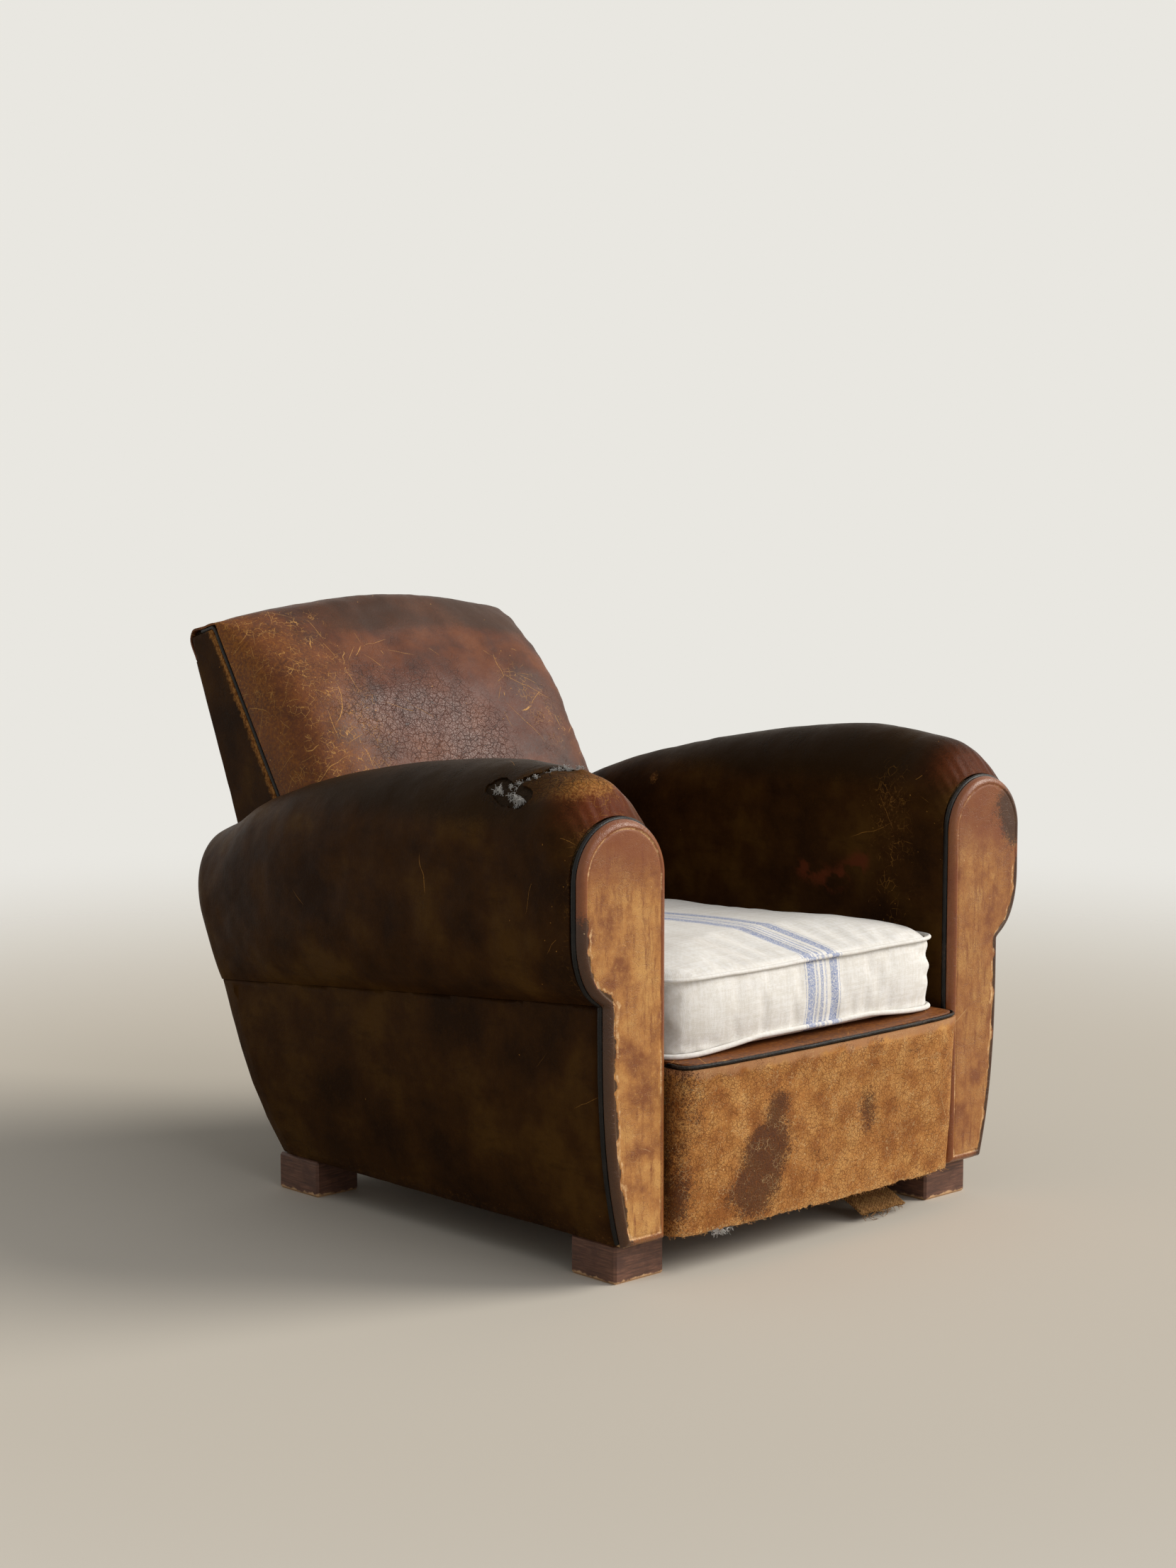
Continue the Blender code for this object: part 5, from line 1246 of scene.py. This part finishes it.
applyModifier(cushion, "REMESH", mode="VOXEL", voxel_size=cushionLook["grid"])
applyModifier(cushion, "SMOOTH", iterations=3, factor=0.5)
rest = meshValues(cushion.data)
seam = np.abs(rest[:, 2] - topSeamZ(rest)) < 0.006
edgeward = np.maximum(np.abs(rest[:, 0]) / cushionX,
                      np.abs(rest[:, 1] - cushionMiddle) / cushionY) > 0.955
pinned = (seam & edgeward) | (rest[:, 2] < 0.2825)
normals = meshValues(cushion.data, "normal")
setPoints(cushion.data, rest - normals * cushionLook["shrunk"] * ~pinned[:, None])
group = cushion.vertex_groups.new(name="sewn")
group.add(np.where(pinned)[0].tolist(), 1.0, "REPLACE")
cloth = cushion.modifiers.new("cloth", "CLOTH")
settings = {"quality": 6, "mass": 0.4, "tension_stiffness": 18, "compression_stiffness": 18,
            "bending_stiffness": 2.0, "vertex_group_mass": "sewn", "use_pressure": True,
            "uniform_pressure_force": cushionLook["pressure"], "shrink_min": -0.008}
for key, value in settings.items():
    setattr(cloth.settings, key, value)
cloth.settings.effector_weights.gravity = 0.0
cloth.point_cache.frame_start = 1
cloth.point_cache.frame_end = cushionLook["frames"]
for frameNumber in range(1, cushionLook["frames"] + 1):
    scene.frame_set(frameNumber)
moved = meshValues(evaluatedMesh(cushion)) - rest
far = np.linalg.norm(moved, axis=1, keepdims=True)
print("cushion moved at most", round(float(far.max()) * 1000, 1), "mm")
cushion.modifiers.clear()
cushion.vertex_groups.clear()
scene.frame_set(1)
setPoints(cushion.data, rest + moved * np.minimum(1, cushionLook["cap"] / np.maximum(far, 1e-9)))
applyModifier(cushion, "SUBSURF", levels=1, render_levels=1)
points = meshValues(cushion.data)
normals = meshValues(cushion.data, "normal")
fromTopSeam = points[:, 2] - topSeamZ(points)
around = np.stack([points[:, 0], points[:, 1], 0 * points[:, 0]], -1)
outX = np.abs(points[:, 0]) / cushionX
outY = np.abs(points[:, 1] - cushionMiddle) / cushionY
nearEdge = blendStep(0.86, 0.98, np.maximum(outX, outY))
gather = softNoise(around, 0.016, 140) * np.exp(-np.abs(fromTopSeam) / 0.014) * nearEdge
slack = 0.0016 * softNoise(points, 0.14, 141) + 0.0004 * roughNoise(points, 0.05, 142)
corner = nearLine(points, [(0.245, setback(0.015), 0.33), (0.250, setback(0.008), 0.37)], 0.05)
slack += 0.0020 * corner * np.sin(points[:, 2] * 2 * math.pi / 0.028 + 40 * points[:, 0])
body = blendStep(0.273, 0.285, points[:, 2])
points = points + normals * ((0.0005 * gather + slack) * body)[:, None]
setPoints(cushion.data, points)
# painted shade with a brown bounce on the cushion's left end, strongest low down, and faint random soiling
# elsewhere; kept in the stain field
shade = blendStep(-0.225, -0.262, points[:, 0]) * blendStep(0.40, 0.30, points[:, 2])
shade = np.maximum(0.55 * shade, 0.10 * blendStep(0.2, 0.7, roughNoise(points, 0.12, 143)))
setFields(cushion.data, {"stainAndShade": shade})
cushion.data.materials.clear()
cushion.data.materials.append(linen)
cushion.data.shade_smooth()
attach(cushion, "root")
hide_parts("seat_cushion")
for name, node, z, lifted, fall, r in (("weltTop", "cushion_welt_top", topEdge, 0.0, 0.022, 0.0028),
                                       ("weltLow", "cushion_welt_bottom", lowEdge, 0.014, 0.0, 0.0034)):
    ring = cushionRing(1.0, z, 0.0022, lifted, fall)
    ring = evenly(ring, 420, False)
    ring = ring + wander(ring, 0.0008, 0.05, 150) * [1, 1, 1.2]
    tubesPiece(name, [ring], r, 10, linen, "striped_linen", [node], closed=True)
print("cushion made")


# Hidden side: dome-headed tacks hold the outside back
def tackDome(centre, normal, r):
    normal = normal / np.linalg.norm(normal)
    side = np.cross(normal, [1.0, 0, 0])
    side /= np.linalg.norm(side)
    other = np.cross(normal, side)
    turn = 2 * np.pi * np.arange(12)[:, None] / 12
    points = []
    for out, up in ((1.0, -0.15), (1.0, 0.0), (0.86, 0.32), (0.5, 0.56), (0.12, 0.64)):
        points.append(centre + r * (out * (np.cos(turn) * side + np.sin(turn) * other) + up * normal))
    count = len(points)
    faces = gridFaces(count, 12, True).tolist()
    faces += [list(range(12))[::-1], [(count - 1) * 12 + k for k in range(12)]]
    return np.concatenate(points), faces


def tackRow():
    line = [(0.326, 0.075), (0.344, 0.16), (0.348, 0.27)]
    upper = [(0.354, 0.305), (0.350, 0.37), (0.334, 0.412), (0.307, 0.440), (0.282, 0.448)]
    backSide = [(0.258, 0.50), (0.258, 0.60), (0.258, 0.70), (0.252, 0.728)]
    places = []
    for part in (line, upper, backSide):
        length = sum(math.dist(a, b) for a, b in zip(part[:-1], part[1:]))
        places += smoothLine(part, max(3, int(length / 0.026))).tolist()
    places += [(x, 0.737) for x in np.linspace(0.0, 0.228, 10)]
    both = places + [(-x, z) for x, z in places if x > 0.001]
    normal = np.array([0, 1.0, -rearRake])
    domes = [tackDome(np.array([x, rearY(z) + 0.0002, z]), normal, 0.0042) for x, z in both]
    return meshPiece("backTacks", *joinParts(domes), agedBrass, "spring_steel")


tackRow()


# Loose threads where the webbing has pulled off the front rail
def strapThreads():
    low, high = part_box("long_webbing_3")
    local = np.random.default_rng(21)
    lines = []
    for _ in range(46):
        x = local.uniform(low[0] + 0.002, high[0] - 0.002)
        root = np.array([x, low[1] + 0.001, 0.0100 + local.uniform(-0.0006, 0.0006)])
        length = local.uniform(0.006, 0.020)
        steps = np.linspace(0, 1, 6)[:, None]
        bend = np.array([local.normal(0, 0.35), -0.45, local.normal(0.05, 0.22)])
        curl = np.array([local.normal(0, 0.5), 0.15, local.normal(-0.1, 0.3)])
        line = root + length * (steps * bend + steps**2 * curl)
        lines.append(np.maximum(line, [-9, facePlane - 0.030, 0.0008]))
    tubesPiece("strapThreads", lines, 0.00035, 3, juteWebbing, "jute")


strapThreads()
print("small pieces made")


# Floor, light and camera
def makeFloor():  # it fades out past the object, so that no horizon shows
    material, tree, shader, add = startMaterial("plainFloor", roughness=0.9, specular=0.15)
    shader.inputs["Base Color"].default_value = toLinear("#CDC6BA")
    here = add("TexCoord", give="Object")
    away = add("VectorMath", here, operation="LENGTH", give="Value")
    clear = add("BsdfTransparent")
    mixed = add("MixShader", add("MapRange", away, 1.1, 3.6, **smooth), shader.outputs[0], clear)
    tree.links.new(mixed, tree.nodes["Material Output"].inputs["Surface"])
    bpy.ops.mesh.primitive_circle_add(vertices=96, radius=14.0, fill_type="NGON", location=(0, 0, 0))
    floor = bpy.context.object
    floor.name = "floor"
    floor.data.materials.append(material)


makeFloor()
world = bpy.data.worlds.new("studio")
scene.world = world
world.use_nodes = True
worldTree = world.node_tree
worldTree.nodes.clear()
output = worldTree.nodes.new("ShaderNodeOutputWorld")
addToWorld = partial(addNode, worldTree)
seen = addToWorld("LightPath", give=None)
behind = addToWorld("Background", {"Color": "#E9E7E1", "Strength": 1.0})
ambient = addToWorld("Background", {"Color": "#F2F1EE", "Strength": 0.34})
reflected = addToWorld("Math", seen["Is Glossy Ray"], seen["Is Transmission Ray"], **largest)
pale = addToWorld("Math", seen["Is Camera Ray"], reflected, **largest)
chosen = addToWorld("MixShader", pale, ambient, behind)
worldTree.links.new(chosen, output.inputs["Surface"])


def sunLight(name, towards, strength, spread, colour):
    data = bpy.data.lights.new(name, "SUN")
    data.energy = strength
    data.angle = math.radians(spread)
    data.color = toLinear(colour)[:3]
    light = bpy.data.objects.new(name, data)
    scene.collection.objects.link(light)
    light.rotation_euler = Vector(towards).to_track_quat("-Z", "Y").to_euler()


sunLight("softWindow", (-0.80, 0.62, -0.66), 2.7, 34, "#FFFAF2")
sunLight("frontFill", (-0.05, 0.85, -0.55), 0.75, 50, "#FBFBFF")

cameraData = bpy.data.cameras.new("camera")
cameraData.lens = 65.43
cameraData.sensor_width = 36
camera = bpy.data.objects.new("camera", cameraData)
scene.collection.objects.link(camera)
camera.location = (-2.68815, -2.88641, 0.9971)
camera.rotation_euler = (math.radians(90 - 6.4135), 0, math.radians(-43.444))
scene.camera = camera
scene.view_settings.view_transform = "Standard"

print("scene made")
